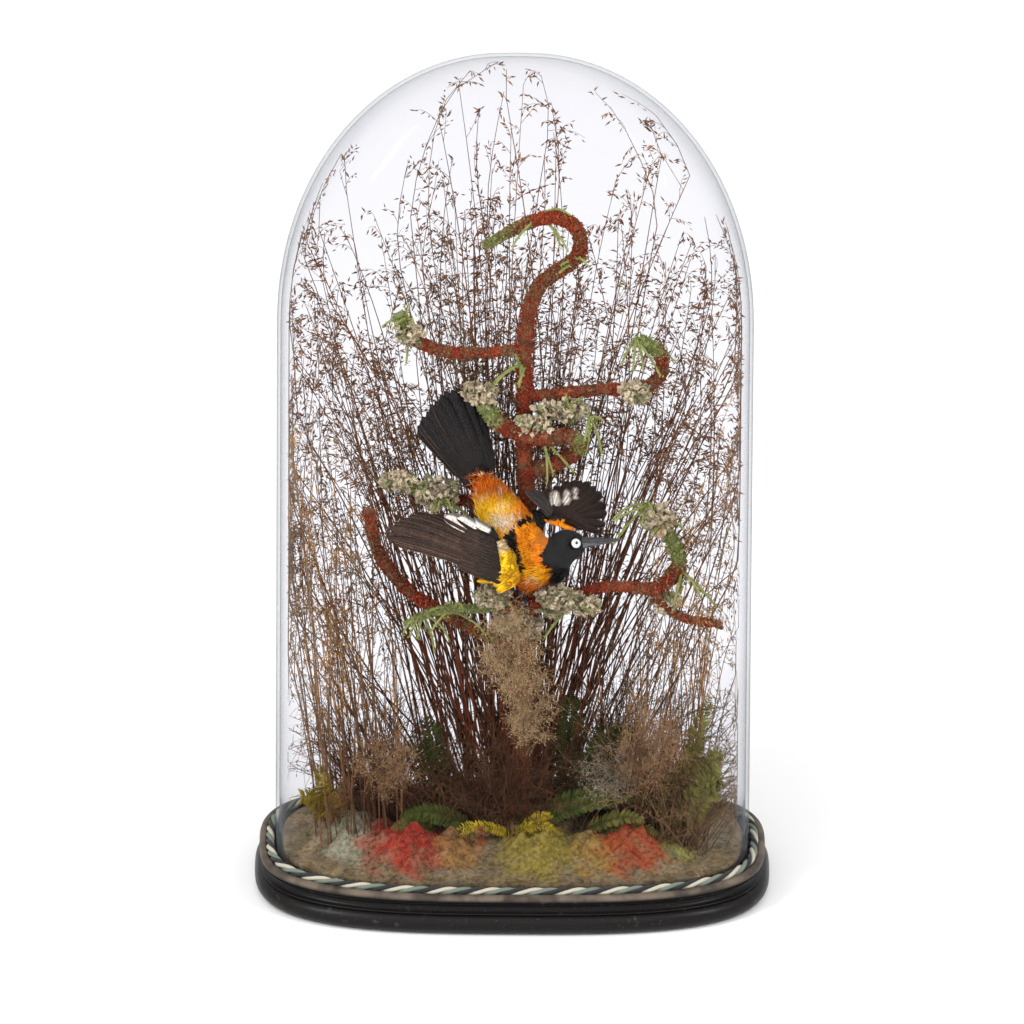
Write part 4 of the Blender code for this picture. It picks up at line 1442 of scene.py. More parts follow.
def coat(name, piece, count, wanted, length, width, lift, mess, seed, finish=None):
    """Feathers over part of the skin. length takes the points and gives metres."""
    spots, normals, pick = spread_over_skin(count, seed, wanted)
    run, flow, nearest = along_body(spots)
    flow = flow - normals * np.sum(flow * normals, 1, keepdims=True)
    lie = unit(flow) + pick.normal(0, mess, spots.shape)
    lie = unit(lie - normals * np.sum(lie * normals, 1, keepdims=True)) + normals * lift
    long = length(spots) * pick.uniform(0.8, 1.2, len(spots))
    size = np.column_stack([long * width, long, long])
    tint = plumage(spots + unit(flow) * (long * 0.45)[:, None], normals, pick)
    dark = tint.max(1, keepdims=True) < 0.03
    tint = tint * np.where(dark, pick.uniform(0.2, 2.4, (len(spots), 1)),
                           pick.uniform(0.80, 1.16, (len(spots), 1)))
    return planted(name, piece, spots - normals * 0.0002, lie, normals, size, tint, finish or plume,
                   root=unwrap(spots),
                   spread=0.12, seed=seed)


def along_share(points):
    return along_body(points)[0]


def on_arm(points):
    x, up = leaning(points)
    return (points[:, 1] < -0.0545) & (x < 9)


coat("coat_head", vane_piece, 2150, lambda p: (along_share(p) < 0.034) * 1.0,
     lambda p: np.interp(along_share(p), (0.004, 0.03), (0.0022, 0.0044)), 1.15, 0.10, 0.07, 61)
coat("coat_neck", vane_piece, 2050,
     lambda p: (along_share(p) > 0.030) & (along_share(p) < 0.066) & ~on_arm(p),
     lambda p: np.interp(along_share(p), (0.03, 0.06), (0.0052, 0.0085)), 0.85, 0.16, 0.13, 62)
coat("coat_body", vane_piece, 2000, lambda p: (along_share(p) > 0.062) | on_arm(p),
     lambda p: np.where(on_arm(p), 0.0085, 0.010), 0.85, 0.14, 0.11, 63)
coat("coat_neck_wisps", wisp_piece, 1300, lambda p: (along_share(p) > 0.036) & (along_share(p) < 0.07),
     lambda p: np.full(len(p), 0.0075), 0.9, 0.22, 0.20, 64)
coat("coat_rump_wisps", wisp_piece, 1750, lambda p: along_share(p) > 0.078,
     lambda p: np.interp(along_share(p), (0.078, 0.12), (0.010, 0.0150)), 0.75, 0.20, 0.20, 65)

coat("coat_throat", wisp_piece, 420, lambda p: (leaning(p)[1] < 260) & (leaning(p)[0] > 16),
     lambda p: np.full(len(p), 0.0115), 0.9, 0.62, 0.30, 66)

# %% [markdown]
# ## Wing and tail feathers
# Each flight feather is built by itself: a closed vane with a raised shaft, narrow on its leading side,
# bent a little along its length. The roots stand along the hand and forearm, and the tips follow
# the spread of the wing. Each feather lies a little above the one outside it, as in a live wing.

# %% Build one feather
FEATHER_ROWS = 16
FEATHER_SIDES = (-1.0, -0.55, -0.10, 0.0, 0.10, 0.55, 1.0)
FEATHER_THICK = 0.00022


class Feathers:
    """Many separate feathers gathered in one mesh."""

    def __init__(self):
        self.points, self.faces, self.vane, self.tint = [], [], [], []

    def add(self, root, tip, width, face, colour, bend=0.0, sweep=0.0, tip_round=0.75, lead=0.75,
            narrow=0.35, split=0.0):
        root, tip, face = (np.asarray(v, float) for v in (root, tip, face))
        along = tip - root
        side = unit([np.cross(along, face)])[0]
        face = unit([np.cross(side, along)])[0]
        start = len(self.points)
        rows = np.linspace(0, 1, FEATHER_ROWS)
        notch = chance.uniform(0.55, 0.95)
        for layer in (1, 0):
            for t in rows:
                swell = min(1.0, narrow + 2.4 * t)
                if t > tip_round:
                    swell *= max(0.0, 1 - ((t - tip_round) / (1.0001 - tip_round)) ** 2.4) ** 0.5
                centre = root + along * t + face * bend * 4 * t * (1 - t) + side * sweep * 4 * t * (1 - t)
                for u in FEATHER_SIDES:
                    half = width / 2 * swell * (lead if u < 0 else 2 - lead)
                    ragged = 1 - split * (abs(u) == 1.0) * max(0.0, math.sin(t * 60 * notch)) * (t > 0.3)
                    drop = 0.10 * width * u * u * swell
                    shaft = 0.00022 * (1 - t) if u == 0 else 0.0
                    self.points.append(centre + side * u * half * ragged + face
                                       * (layer * (FEATHER_THICK + shaft) - drop))
                    self.vane.append((u * 0.5, t))
        grid = np.array(self.points[start:start + FEATHER_ROWS * len(FEATHER_SIDES)])
        t_all = np.repeat(rows, len(FEATHER_SIDES))
        u_all = np.tile(FEATHER_SIDES, FEATHER_ROWS)
        paint = colour(grid, t_all, u_all)
        self.tint.extend(np.vstack([paint, paint]))
        self.faces.extend(sheet_faces(FEATHER_ROWS, len(FEATHER_SIDES), start))

    def build(self, name, finish, slot, *replaced):
        obj = new_piece(name, self.points, self.faces, finish, slot=slot, tint=np.array(self.tint))
        each = FEATHER_ROWS * len(FEATHER_SIDES) * 2
        count = len(self.points) // each
        cells = math.ceil(math.sqrt(count))
        flat = np.array(self.vane, np.float32)
        number = np.arange(len(flat)) // each
        corner = np.column_stack([number % cells, number // cells]) / cells
        bake = corner + np.column_stack([(flat[:, 0] + 0.5) * 0.9, flat[:, 1] * 0.9]) / cells
        store_uv(obj.data, "OFBake", bake)
        store_uv(obj.data, "vane", flat)
        if replaced:
            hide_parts(*replaced)
        print(name, count, "feathers,", len(obj.data.polygons), "faces")
        return obj


def vane_finish():
    made = Finish("flight_feather", 0.5, Specular_IOR_Level=0.16)
    vane = made.attribute("vane", out=1)
    u, t, w = made.split(vane)
    place = made.node("VectorMath", {0: made.place(), 3: 40.0}, operation="SCALE")
    slanted = made.node("CombineXYZ", {0: u.sum("ABSOLUTE", u) * -3.0 + t * 95.0, 1: u * 3.0})
    barbs = made.noise(1.0, 2.0, made.node("VectorMath", {0: slanted, 1: place}, operation="ADD"))
    streaks = made.noise(1.0, 3.0, made.node("Mapping", {0: vane, 3: (16.0, 1.5, 1.0)}))
    shade = made.mix(barbs.step(0.25, 0.75), (0.55, 0.52, 0.50), (1.35, 1.32, 1.3))
    colour = made.mix(1.0, made.attribute("tint"), shade, "MULTIPLY")
    colour = made.mix(streaks.step(0.45, 0.7) * 0.6, colour,
                      made.mix(1.0, colour, (2.1, 1.9, 1.75), "MULTIPLY"))
    shaft = 1.0 - u.sum("ABSOLUTE", u).step(0.012, 0.035)
    colour = made.mix(shaft * 0.8, colour, made.mix(1.0, colour, (3.2, 2.4, 2.0), "MULTIPLY"))
    reach = u.sum("ABSOLUTE", u)
    # Painted shade: a dark band just inside each edge of the vane stands in for the shadow in the gap to the
    # next feather, so the feathers read apart.
    gap = reach.step(0.24, 0.36) * (1.0 - reach.step(0.42, 0.46))
    colour = made.mix(gap * 0.75, colour, made.mix(1.0, colour, (0.25, 0.24, 0.24), "MULTIPLY"))
    colour = made.mix(reach.step(0.45, 0.49) * 0.7, colour,
                      made.mix(1.0, colour, (2.6, 2.2, 1.9), "MULTIPLY"))
    made.set(Base_Color=colour, Roughness=0.42 + barbs * 0.25)
    made.bump(barbs * 0.7 + streaks * 0.3, 0.6, 0.0004)
    return made


flight = vane_finish()
BROWN = np.array((0.040, 0.0245, 0.0175))
EDGE = np.array((0.21, 0.145, 0.10))
TAIL_BLACK = np.array((0.0085, 0.0070, 0.0064))


def wing_paint(base, edge=0.5, white=None):
    """A feather's colour: base, a paler leading edge, and white where the mask says."""
    def paint(points, t, u):
        colour = np.tile(base, (len(points), 1))
        colour = over(colour, EDGE, np.clip((-u - 0.62) * 2.6, 0, 1) * edge * np.clip(t * 2 - 0.2, 0, 1))
        if white is not None:
            x, up = leaning(points)
            colour = over(colour, np.array((0.72, 0.71, 0.66)), white(x, up, t, u))
        return colour
    return paint


def lerp(first, second, share):
    return np.asarray(first, float) + (np.asarray(second, float) - np.asarray(first, float)) * share


# %% The near wing
NEAR_FACE = np.array((0.02, -0.88, 0.47))


def near_white(x, up, t, u):
    edge = 279.8 - (x + 28.7) * 0.60
    return ((up > edge) & (x < -21 - (290 - up) * 0.4) & (x > -57) & (u > 0.05) & (u < 0.95)) * 1.0


near = Feathers()
NEAR_COUNT = 19
for index in range(NEAR_COUNT):
    share = index / (NEAR_COUNT - 1)
    root = lerp((-9, -66, 305), (-14, -51, 337), share ** 0.9)
    tips = ((-101, -50, 332), (-107, -48, 338), (-107, -45, 343), (-101, -41, 346), (-93, -37, 348),
            (-84, -34, 348),
            (-72, -35, 348), (-60, -37, 349), (-49, -40, 348.5), (-38, -43, 347))
    stops = np.linspace(0, 1, len(tips))
    tip = np.array([np.interp(share, stops, [t[axis] for t in tips]) for axis in range(3)])
    tip = tip + chance.normal(0, 0.8, 3)
    long = np.linalg.norm(tip - root)
    outer = share < 0.52
    colour = wing_paint(BROWN * chance.uniform(0.8, 1.25) if share < 0.85 else TAIL_BLACK * 1.3,
                        0.9 if outer else 0.35,
                        near_white if share > 0.45 else None)
    lift = NEAR_FACE * (share * 3.2)
    near.add((root + lift) * MM, (tip + lift) * MM, (8.8 if outer else 10.5) * MM, NEAR_FACE, colour,
             bend=2.5 * MM,
             sweep=(5.0 * (1 - share) - 1.0) * MM, tip_round=0.55 if outer else 0.8, lead=0.62, split=0.12)
for row, (count, reach, above, wide) in enumerate(((13, 34, 4.6, 8.5), (13, 22, 5.6, 8), (12, 14, 6.6, 7))):
    for index in range(count):
        share = index / (count - 1)
        root = lerp((-9, -66, 303.5), (-15, -52.5, 334), share) + NEAR_FACE * (above + share * 2.2)
        aim = lerp((-104, -48, 336), (-70, -40, 352), share) - root
        tip = root + aim / np.linalg.norm(aim) * reach * chance.uniform(0.9, 1.1) * (1.25 - 0.45 * share)
        near.add(root * MM, tip * MM, wide * MM, NEAR_FACE,
                 wing_paint(BROWN * (0.85 - 0.2 * row) * chance.uniform(0.8, 1.2), 0.25),
                 bend=1.2 * MM, tip_round=0.55, lead=0.9)
near.add(np.array((-13, -64, 304)) * MM, np.array((-31, -58, 301)) * MM, 4.5 * MM, NEAR_FACE,
         wing_paint(YELLOW * 0.8, 0.0),
         tip_round=0.6)
near.build("near_wing_feathers", flight, "wing_feather", "wing_right")

# %% The yellow shoulder
def shoulder_patch():
    """Yellow feathers over the bend of the near wing, above its coverts."""
    pick = np.random.default_rng(67)
    x, up = pick.uniform(-15, 7, 1500), pick.uniform(244, 283, 1500)
    inside = near_shoulder(x, up) & ((x + 4) ** 2 / 130 + (up - 262) ** 2 / 420 < 1.2)
    x, up = x[inside][:420], up[inside][:420]
    high = (up + 92.3) / 1.1176
    deep = -66 + 0.5 * (high - 305)
    spots = (np.column_stack([x - 0.5, deep, high]) + NEAR_FACE * (7.0 - 0.10 * np.abs(x + 3)[:, None])) * MM
    outward = np.tile(NEAR_FACE, (len(x), 1)) + pick.normal(0, 0.05, (len(x), 3))
    lie = np.array((-0.80, -0.05, -0.42)) + pick.normal(0, 0.10, (len(x), 3)) + outward * 0.04
    tint = over(np.tile(YELLOW, (len(x), 1)), PALE, oval_spot(x, up, (-9, 279), (7, 6)) * 0.7)
    tint = over(tint, AMBER, oval_spot(x, up, (3, 249), (7, 8)) * 0.6) * pick.uniform(0.78, 1.12, (len(x), 1))
    long = pick.uniform(0.0085, 0.0125, len(x))
    return planted("coat_shoulder", vane_piece, spots, lie, outward,
                   np.column_stack([long * 0.62, long, long]), tint, plume,
                   root=unwrap(spots), spread=0.05, seed=67)


shoulder = shoulder_patch()

# %% The far wing
FAR_FACE = np.array((0.555, -0.176, 0.813))
FAR_WHITES = (((33.8, 316.0), (4.2, 8.0)), ((43.6, 318.6), (2.8, 6.6)), ((51.0, 321.5), (1.4, 5.0)))


def on_far_plane(x, up):
    """A point of the far wing's plane, from where it shows on the leaning plane."""
    depth = (up - 308.2 + 0.618 * (x - 42)) / 0.619
    return np.array((x, depth, (up - depth * LEAN[1]) / LEAN[2]))


def far_white(x, up, t, u):
    total = np.zeros(len(x))
    for middle, half in FAR_WHITES:
        total = np.maximum(total, oval_spot(x, up, middle, half, 0.15))
    return total * 0.92


far = Feathers()
FAR_TIPS = ((72, 291), (76.5, 298), (77, 306), (75.5, 314), (72, 322), (67.5, 328), (62, 331), (56, 332),
            (50, 331.5),
            (43.5, 331), (35, 327.5), (26, 323))
for index, (x, up) in enumerate(FAR_TIPS):
    share = index / (len(FAR_TIPS) - 1)
    root = lerp((44, -14, 335), (27, -16, 341), share)
    tip = on_far_plane(x + chance.normal(0, 0.5), up + chance.normal(0, 0.7))
    lift = FAR_FACE * share * 2.4
    colour = wing_paint(BROWN * (0.55 + 0.25 * chance.uniform()), 0.3, far_white if index > 5 else None)
    far.add((root + lift) * MM, (tip + lift) * MM, 10.5 * MM, FAR_FACE, colour, bend=1.5 * MM,
            tip_round=0.72, lead=0.8,
            split=0.12)
for count, reach, above, wide, dark in ((10, 24, 3.4, 9, 0.75), (9, 15, 4.6, 8, 0.6)):
    for index in range(count):
        share = index / (count - 1)
        root = lerp((45, -14, 335), (27, -16, 342), share) + FAR_FACE * above
        pick_tip = FAR_TIPS[round(share * (len(FAR_TIPS) - 1))]
        aim = on_far_plane(*pick_tip) - root
        tip = root + aim / np.linalg.norm(aim) * reach * chance.uniform(0.9, 1.1)
        far.add(root * MM, tip * MM, wide * MM, FAR_FACE, wing_paint(BROWN * dark, 0.3), tip_round=0.5,
                lead=0.95)
for index in range(11):
    share = index / 10
    root = lerp((43, -19, 327), (27, -21, 333), share) + FAR_FACE * chance.uniform(4.5, 6.0)
    aim = on_far_plane(*FAR_TIPS[round(3 + share * 8)]) - root
    tip = root + aim / np.linalg.norm(aim) * chance.uniform(7, 15)
    far.add(root * MM, tip * MM, 4 * MM, FAR_FACE, wing_paint(lerp(ORANGE, AMBER, chance.uniform()), 0.0),
            tip_round=0.4)
for x, up, wide, rise in ((5, 320, 13, 6.0), (11, 323, 12, 5.0), (17, 322, 11, 4.0), (9, 314, 12, 7.5),
                          (19, 315, 11, 6.0)):
    root = np.array((27, -19, 340)) + FAR_FACE * rise
    tip = on_far_plane(x, up) + FAR_FACE * (rise + 1)
    far.add(root * MM, tip * MM, wide * MM, FAR_FACE, wing_paint(np.array((0.040, 0.036, 0.034)), 0.15),
            bend=2 * MM,
            tip_round=0.45, lead=1.0, narrow=0.6)
far.build("far_wing_feathers", flight, "wing_feather", "wing_left")

# %% The tail
tail_fan = Feathers()
TAIL_FACE = unit([np.cross(np.array((19.0, 0, 7)), np.array((-40.0, 22, 58)))])[0]
TAIL_FACE = TAIL_FACE * math.copysign(1.0, float(TAIL_FACE @ SIDE))
TAIL_COUNT = 12
for index in range(TAIL_COUNT):
    share = index / (TAIL_COUNT - 1)
    root = lerp((-33, -16, 369), (-18, -16, 374), share)
    tips = ((-81, 4, 414), (-77, 6, 424), (-69, 9, 434), (-60, 11, 442), (-49, 12, 447), (-38, 12, 446))
    stops = np.linspace(0, 1, len(tips))
    tip = np.array([np.interp(share, stops, [t[axis] for t in tips])
                    for axis in range(3)]) + chance.normal(0, 0.6, 3)
    lift = TAIL_FACE * (2.2 - abs(share - 0.5) * 4)
    tail_fan.add((root + lift) * MM, (tip + lift) * MM, 12.5 * MM, TAIL_FACE,
                 wing_paint(TAIL_BLACK * chance.uniform(0.8, 1.3), 0.18),
                 bend=1.5 * MM, tip_round=0.8, lead=0.9 if share > 0.5 else 1.1, split=0.05)
for index in range(7):
    share = index / 6
    root = lerp((-31, -18, 364), (-18, -18, 369), share) + TAIL_FACE * 3.2
    tip = lerp((-57, -2, 392), (-32, 0, 404), share) + TAIL_FACE * 3.2
    tail_fan.add(root * MM, tip * MM, 9 * MM, TAIL_FACE, wing_paint(TAIL_BLACK, 0.1), tip_round=0.6, lead=1.0)
tail_fan.build("tail_feathers", flight, "black_feather", "tail")

# %% [markdown]
# ## Bill, eyes and legs
# The bill is slender and sharp, in two halves that meet along a fine line, blue-grey with a pale base
# below. The eye is painted glass: a white ring round a small dark pupil, under a clear coat. The legs
# keep the solid model's shape under a horny finish with small scales.

# %% The bill
def horn_finish():
    made = Finish("horn", 0.32, Coat_Weight=0.15)
    place = made.place()
    stripes = made.noise(1.0, 3.0, made.node("Mapping", {0: place, 3: (120.0, 900.0, 900.0)}))
    base = made.mix(stripes.step(0.3, 0.7), (0.012, 0.0115, 0.012), (0.055, 0.052, 0.052))
    worn = made.mix(1.0, base, made.attribute("tint"), "MULTIPLY")
    made.set(Base_Color=worn, Roughness=0.28 + stripes * 0.2)
    made.bump(stripes, 0.3, 0.0003)
    return made


horn = horn_finish()
BILL_ROWS = 22
BILL_SIDES = 16
bill_base = np.array((57.0, -52.3, 333.8))
bill_tip = np.array((91.0, -58.0, 341.3))
bill_along = unit([bill_tip - bill_base])[0]
bill_up = unit([LEAN - bill_along * (LEAN @ bill_along)])[0]
bill_side = np.cross(bill_along, bill_up)


def mandible(name, upper, node):
    points, tint = [], []
    for t in np.linspace(0, 1, BILL_ROWS):
        deep = (4.9 if upper else 4.2) * (1 - t) ** 0.85 + 0.30
        wide = 4.4 * (1 - t) ** 0.9 + 0.28
        reach = t if upper else t * 0.965
        droop = -1.1 * t ** 2 if upper else -0.9 * t ** 2
        centre = bill_base + (bill_tip - bill_base) * reach + bill_up * (droop + (0.12 if upper else -0.12))
        for side in range(BILL_SIDES):
            angle = 2 * math.pi * side / BILL_SIDES
            high = math.sin(angle)
            if (high < 0) == upper:
                high *= 0.06
            points.append((centre + bill_side * math.cos(angle) * wide + bill_up * high * deep) * MM)
            pale = np.array((1.0, 1.0, 1.0)) if upper else lerp((3.4, 3.5, 3.8), (1, 1, 1), min(1.0, t * 1.6))
            tint.append(pale)
    faces = rows_to_faces(BILL_ROWS, BILL_SIDES, close=True)
    obj = new_piece(name, points, faces, horn, slot="horn", tint=np.array(tint))
    face_outwards(obj)
    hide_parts(node)
    return obj


mandible("upper_mandible", True, "bill_upper")
mandible("lower_mandible", False, "bill_lower")

# %% The eyes
def eye_finish():
    made = Finish("glass_eye", 0.06, Coat_Weight=1.0, Coat_Roughness=0.03)
    veins = made.noise(1600.0, 3.0)
    made.set(Base_Color=made.mix(1.0, made.attribute("tint"),
                                 made.mix(veins, (0.92, 0.92, 0.92), (1.04, 1.04, 1.04)), "MULTIPLY"))
    made.set(Roughness=0.05 + veins * 0.05)
    return made


eye_glass = eye_finish()


def eye(name, node, outward):
    low, high = (np.array(corner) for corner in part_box(node))
    middle = (low + high) / 2
    outward = unit([outward])[0]
    middle = middle + outward * 0.0002
    first = unit([np.cross(outward, bill_up)])[0]
    second = np.cross(outward, first)
    radius = float((high - low).max()) / 2 * 0.97
    points, tint = [], []
    rings = [0, 7, 13, 16, 17.5, 19.5, 24, 34, 46, 58, 64, 66, 70, 80, 95, 120, 150, 180]
    for ring in rings[1:-1]:
        angle = math.radians(ring)
        for side in range(28):
            turn = 2 * math.pi * side / 28
            points.append(middle + radius
                          * (outward * math.cos(angle) + (first * math.cos(turn) + second * math.sin(turn))
                             * math.sin(angle)))
            tint.append((0.012, 0.012, 0.013) if ring < 17 else (0.16, 0.16, 0.16) if ring < 19 else
                        (0.86, 0.86, 0.84) if ring < 65 else (0.01, 0.01, 0.01))
    faces = rows_to_faces(len(rings) - 2, 28)
    points += [middle + outward * radius, middle - outward * radius]
    tint += [(0.012, 0.012, 0.013), (0.01, 0.01, 0.01)]
    last = (len(rings) - 3) * 28
    for side in range(28):
        faces.append(((side + 1) % 28, side, len(points) - 2))
        faces.append((last + side, last + (side + 1) % 28, len(points) - 1))
    obj = face_outwards(new_piece(name, points, faces, eye_glass, slot="glass_eye", tint=np.array(tint)))
    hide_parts(node)
    return obj


eye("near_eye", "eye_right", SIDE * 0.9 + bill_along * 0.25 + bill_up * 0.1)
eye("far_eye", "eye_left", -SIDE * 0.9 + bill_along * 0.25 + bill_up * 0.1)

# %% The legs
def leg_finish():
    made = Finish("leg_horn", 0.5)
    scales = made.node("TexVoronoi", {"Vector": made.place(), "Scale": 700.0})
    made.set(Base_Color=made.mix(scales.step(0.1, 0.6), (0.10, 0.09, 0.085), (0.035, 0.03, 0.028)))
    made.bump(scales, 0.5, 0.0004)
    return made


leg_horn = leg_finish()
for name in ("leg_left", "leg_right"):
    place = nodes[name].material_slots[0]
    place.link = "OBJECT"
    place.material = leg_horn.material

# %% [markdown]
# ## Dried grasses and ferns
# The space behind the birds is packed with dried grass. Tall wiry stems, red-brown and bleached, fan
# out from the foot of the tree and end in airy heads of tiny spikelets that bend along the glass. Low
# down there are brushes of heath, fern fronds, and pale frothy bent grass. Each stem is one line with
# a width, swept by Geometry Nodes, and each spikelet is a small shape set on a twig's point.

# %% Keep the plants inside the glass
def keep_inside(points, spare=0.0042):
    """Pulls points in, so that every plant clears the inside of the glass when the dome is lifted."""
    points = np.array(points, float)
    rise = np.clip((points[:, 2] - GLASS_SHOULDER) / (GLASS_TOP - GLASS_SHOULDER - GLASS_WALL - spare), 0,
                   0.985)
    shrink = np.sqrt(1 - rise ** 2)
    share = oval_share(points[:, 0], points[:, 1], (GLASS_HALF[0] - GLASS_WALL - spare) * shrink,
                       (GLASS_HALF[1] - GLASS_WALL - spare) * shrink)
    pull = np.minimum(1.0, 0.985 / np.maximum(share, 1e-6))
    points[:, 0] *= pull
    points[:, 1] *= pull
    points[:, 2] = np.minimum(points[:, 2], GLASS_TOP - GLASS_WALL - spare - 0.004)
    return points


def behind_the_bird(points, near=0.024):
    """Pushes grass back behind the tail and the far wing, which reaches furthest back."""
    points = np.array(points, float)
    flat = np.atleast_2d(points)
    bump = np.exp(-((flat[:, 0] - 0.047) / 0.050) ** 4 - ((flat[:, 2] - 0.335) / 0.065) ** 4)
    least = near + 0.036 * bump
    crossing = (np.abs(flat[:, 0]) < 0.115) & (flat[:, 2] > 0.19)
    flat[:, 1] = np.where(crossing, np.maximum(flat[:, 1], least), flat[:, 1])
    return flat.reshape(points.shape)


def straw_finish():
    made = Finish("straw", 0.7, Specular_IOR_Level=0.10)
    blotch = made.noise(90.0, 3.0)
    fine = made.noise(900.0, 2.0)
    shade = made.mix(blotch, (0.55, 0.5, 0.48), (1.4, 1.35, 1.3))
    colour = made.mix(1.0, made.attribute("tint"), shade, "MULTIPLY")
    made.set(Base_Color=made.mix(fine.step(0.55, 0.7) * 0.3, colour, (0.05, 0.03, 0.02)),
             Roughness=0.6 + fine * 0.3)
    made.bump(fine, 0.4, 0.0004)
    return made


straw = straw_finish()
WINE = np.array((0.125, 0.030, 0.014))
UMBER = np.array((0.125, 0.062, 0.032))
FAWN = np.array((0.30, 0.185, 0.095))
RUSSET = np.array((0.22, 0.085, 0.035))
GOLD = np.array((0.46, 0.26, 0.085))
BONE = np.array((0.62, 0.52, 0.37))


class Thicket:
    """Lines and seeds gathered for one kind of plant."""

    def __init__(self, seed):
        self.pick = np.random.default_rng(seed)
        self.lines, self.widths, self.tints = [], [], []
        self.seeds = []

    def line(self, points, first, last, colour, end_colour=None):
        points = keep_inside(points)
        share = np.linspace(0, 1, len(points))
        self.lines.append(points)
        self.widths.append(first + (last - first) * share)
        end_colour = colour if end_colour is None else end_colour
        self.tints.append(colour + (end_colour - colour) * share[:, None])
        return points

    def seed(self, place, aim, size, colour):
        self.seeds.append((place, aim, size, colour))

    def ear(self, line, loose, sizes, colour, bright, grains=5):
        """Seeds on the last points of a twig."""
        for grain in range(grains):
            spot = line[-1 - grain] + self.pick.normal(0, 0.0008, 3)
            aim = unit([line[-1] - line[-2] + self.pick.normal(0, loose, 3)])[0]
            self.seed(spot, aim, self.pick.uniform(*sizes), colour * self.pick.uniform(0.7, bright))

    def build(self, name, sides, seed_piece=None, thick=1.0):
        made = tubes(name + "_stems", self.lines, self.widths, self.tints, straw, sides)
        print(name, len(self.lines), "stems and", len(self.seeds), "seeds,", len(made.data.polygons), "faces")
        if seed_piece:
            places, aims, sizes, colours = (np.array(part) for part in zip(*self.seeds))
            size = np.column_stack([sizes * thick, sizes, sizes * thick])
            planted(name + "_seeds", seed_piece, keep_inside(places, 0.0062), aims,
                    self.pick.normal(size=aims.shape),
                    size, colours, straw, spread=0.3, seed=9)
        return made


def bent(start, aim, length, droop, points, pick, wander=0.04):
    """A line that sets out along aim, wanders a little and droops as it goes."""
    aim = unit([aim])[0]
    side = pick.normal(size=3) * wander
    share = np.linspace(0, 1, points)[:, None]
    return np.asarray(start) + aim * share * length + side * length * share ** 2 + np.array((0, 0,
        -1.0)) * droop * length * share ** 3


def along_line(line, at):
    """The place and the direction on a line, at counts its points and the parts between them."""
    cell = min(int(at), len(line) - 2)
    step = line[cell + 1] - line[cell]
    return line[cell] + step * (at - cell), unit([step])[0]


seed_shape = hidden_source("seed", [(0, 0, 0), (0.14, 0.40, 0.02), (0, 0.42, 0.13), (-0.14, 0.40, 0.02),
                                    (0, 0.42, -0.10), (0, 1, 0)],
                           [(0, 1, 2), (0, 2, 3), (0, 3, 4), (0, 4, 1), (5, 2, 1), (5, 3, 2), (5, 4, 3),
                            (5, 1, 4)])

# %% Tall grass behind the tree
tall = Thicket(71)
STEMS = 278
for number in range(STEMS):
    pick = tall.pick
    lean = pick.normal(0, 0.20) + (number % 5 - 2) * 0.075
    lean = float(np.clip(lean, -0.62, 0.62))
    start = np.array((pick.normal(0, 0.026) + lean * 0.06, pick.uniform(0.022, 0.060), 0.0))
    start[2] = ground_height(start[0], start[1]) - 0.002
    length = pick.uniform(0.34, 0.70) * (1 - 0.30 * abs(lean))
    depth = pick.uniform(-0.05, 0.055)
    aim = np.array((math.sin(lean), depth, math.cos(lean)))
    droop = pick.uniform(0.0, 0.22)
    colour = WINE * pick.uniform(0.5, 1.4) if pick.uniform() < 0.75 else UMBER * pick.uniform(0.7, 1.3)
    tip_colour = lerp(FAWN, RUSSET, pick.uniform(0.2, 1.0)) * pick.uniform(0.55, 1.0)
    line = bent(start, aim, length, droop, 20, pick, 0.09)
    line = behind_the_bird(line)
    line = tall.line(line, pick.uniform(0.0007, 0.0013), 0.00028, colour, tip_colour)
    twigs = int(pick.uniform(9, 16))
    for twig in range(twigs):
        at = (1 - pick.uniform(0, 1) ** 1.2 * 0.44) * 19
        root, forward = along_line(line, at)
        away = pick.normal(size=3) * np.array((1, 0.5, 1))
        reach = pick.uniform(0.016, 0.050) * (1.35 - at / 30)
        small = bent(root, forward * 1.2 + away * 0.55, reach, pick.uniform(0.1, 0.6), 6, pick, 0.15)
        small = tall.line(behind_the_bird(small, 0.020), 0.00026, 0.00014, tip_colour * 0.9, tip_colour)
        tall.ear(small, 0.002, (0.0036, 0.0072), tip_colour, 1.35)
tall_grass = tall.build("tall_grass", 3, seed_shape)
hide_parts(*[f"grass_stem_{number:02d}" for number in range(1, 13)])

# %% Grass at the sides
side_grass = Thicket(72)
for number in range(105):
    pick = side_grass.pick
    left = number % 5 < 3
    sign = -1 if left else 1
    start = np.array((sign * pick.uniform(0.085, 0.165), pick.uniform(-0.030, 0.045), 0.0))
    start[2] = ground_height(start[0], start[1]) - 0.002
    aim = np.array((sign * pick.uniform(-0.02, 0.16), pick.uniform(-0.08, 0.08), 1.0))
    length = pick.uniform(0.20, 0.50)
    tip_colour = (GOLD if pick.uniform() < 0.45 else FAWN) * pick.uniform(0.55, 1.1)
    line = bent(start, aim, length, pick.uniform(0.02, 0.30), 18, pick, 0.10)
    line = behind_the_bird(line, 0.030)
    line = side_grass.line(line, 0.0007, 0.00028, UMBER * pick.uniform(0.8, 1.8), tip_colour)
    for twig in range(int(pick.uniform(9, 16))):
        at = pick.uniform(0.38, 1.0) * 17
        root, forward = along_line(line, at)
        small = bent(root, forward + pick.normal(size=3) * 0.6, pick.uniform(0.010, 0.034),
                     pick.uniform(0.3, 1.2), 6, pick, 0.2)
        small = side_grass.line(behind_the_bird(small, 0.026), 0.00024, 0.00014, tip_colour * 0.9, tip_colour)
        side_grass.ear(small, 0.003, (0.0028, 0.0050), tip_colour, 1.4)
side_grass.build("side_grass", 3, seed_shape)

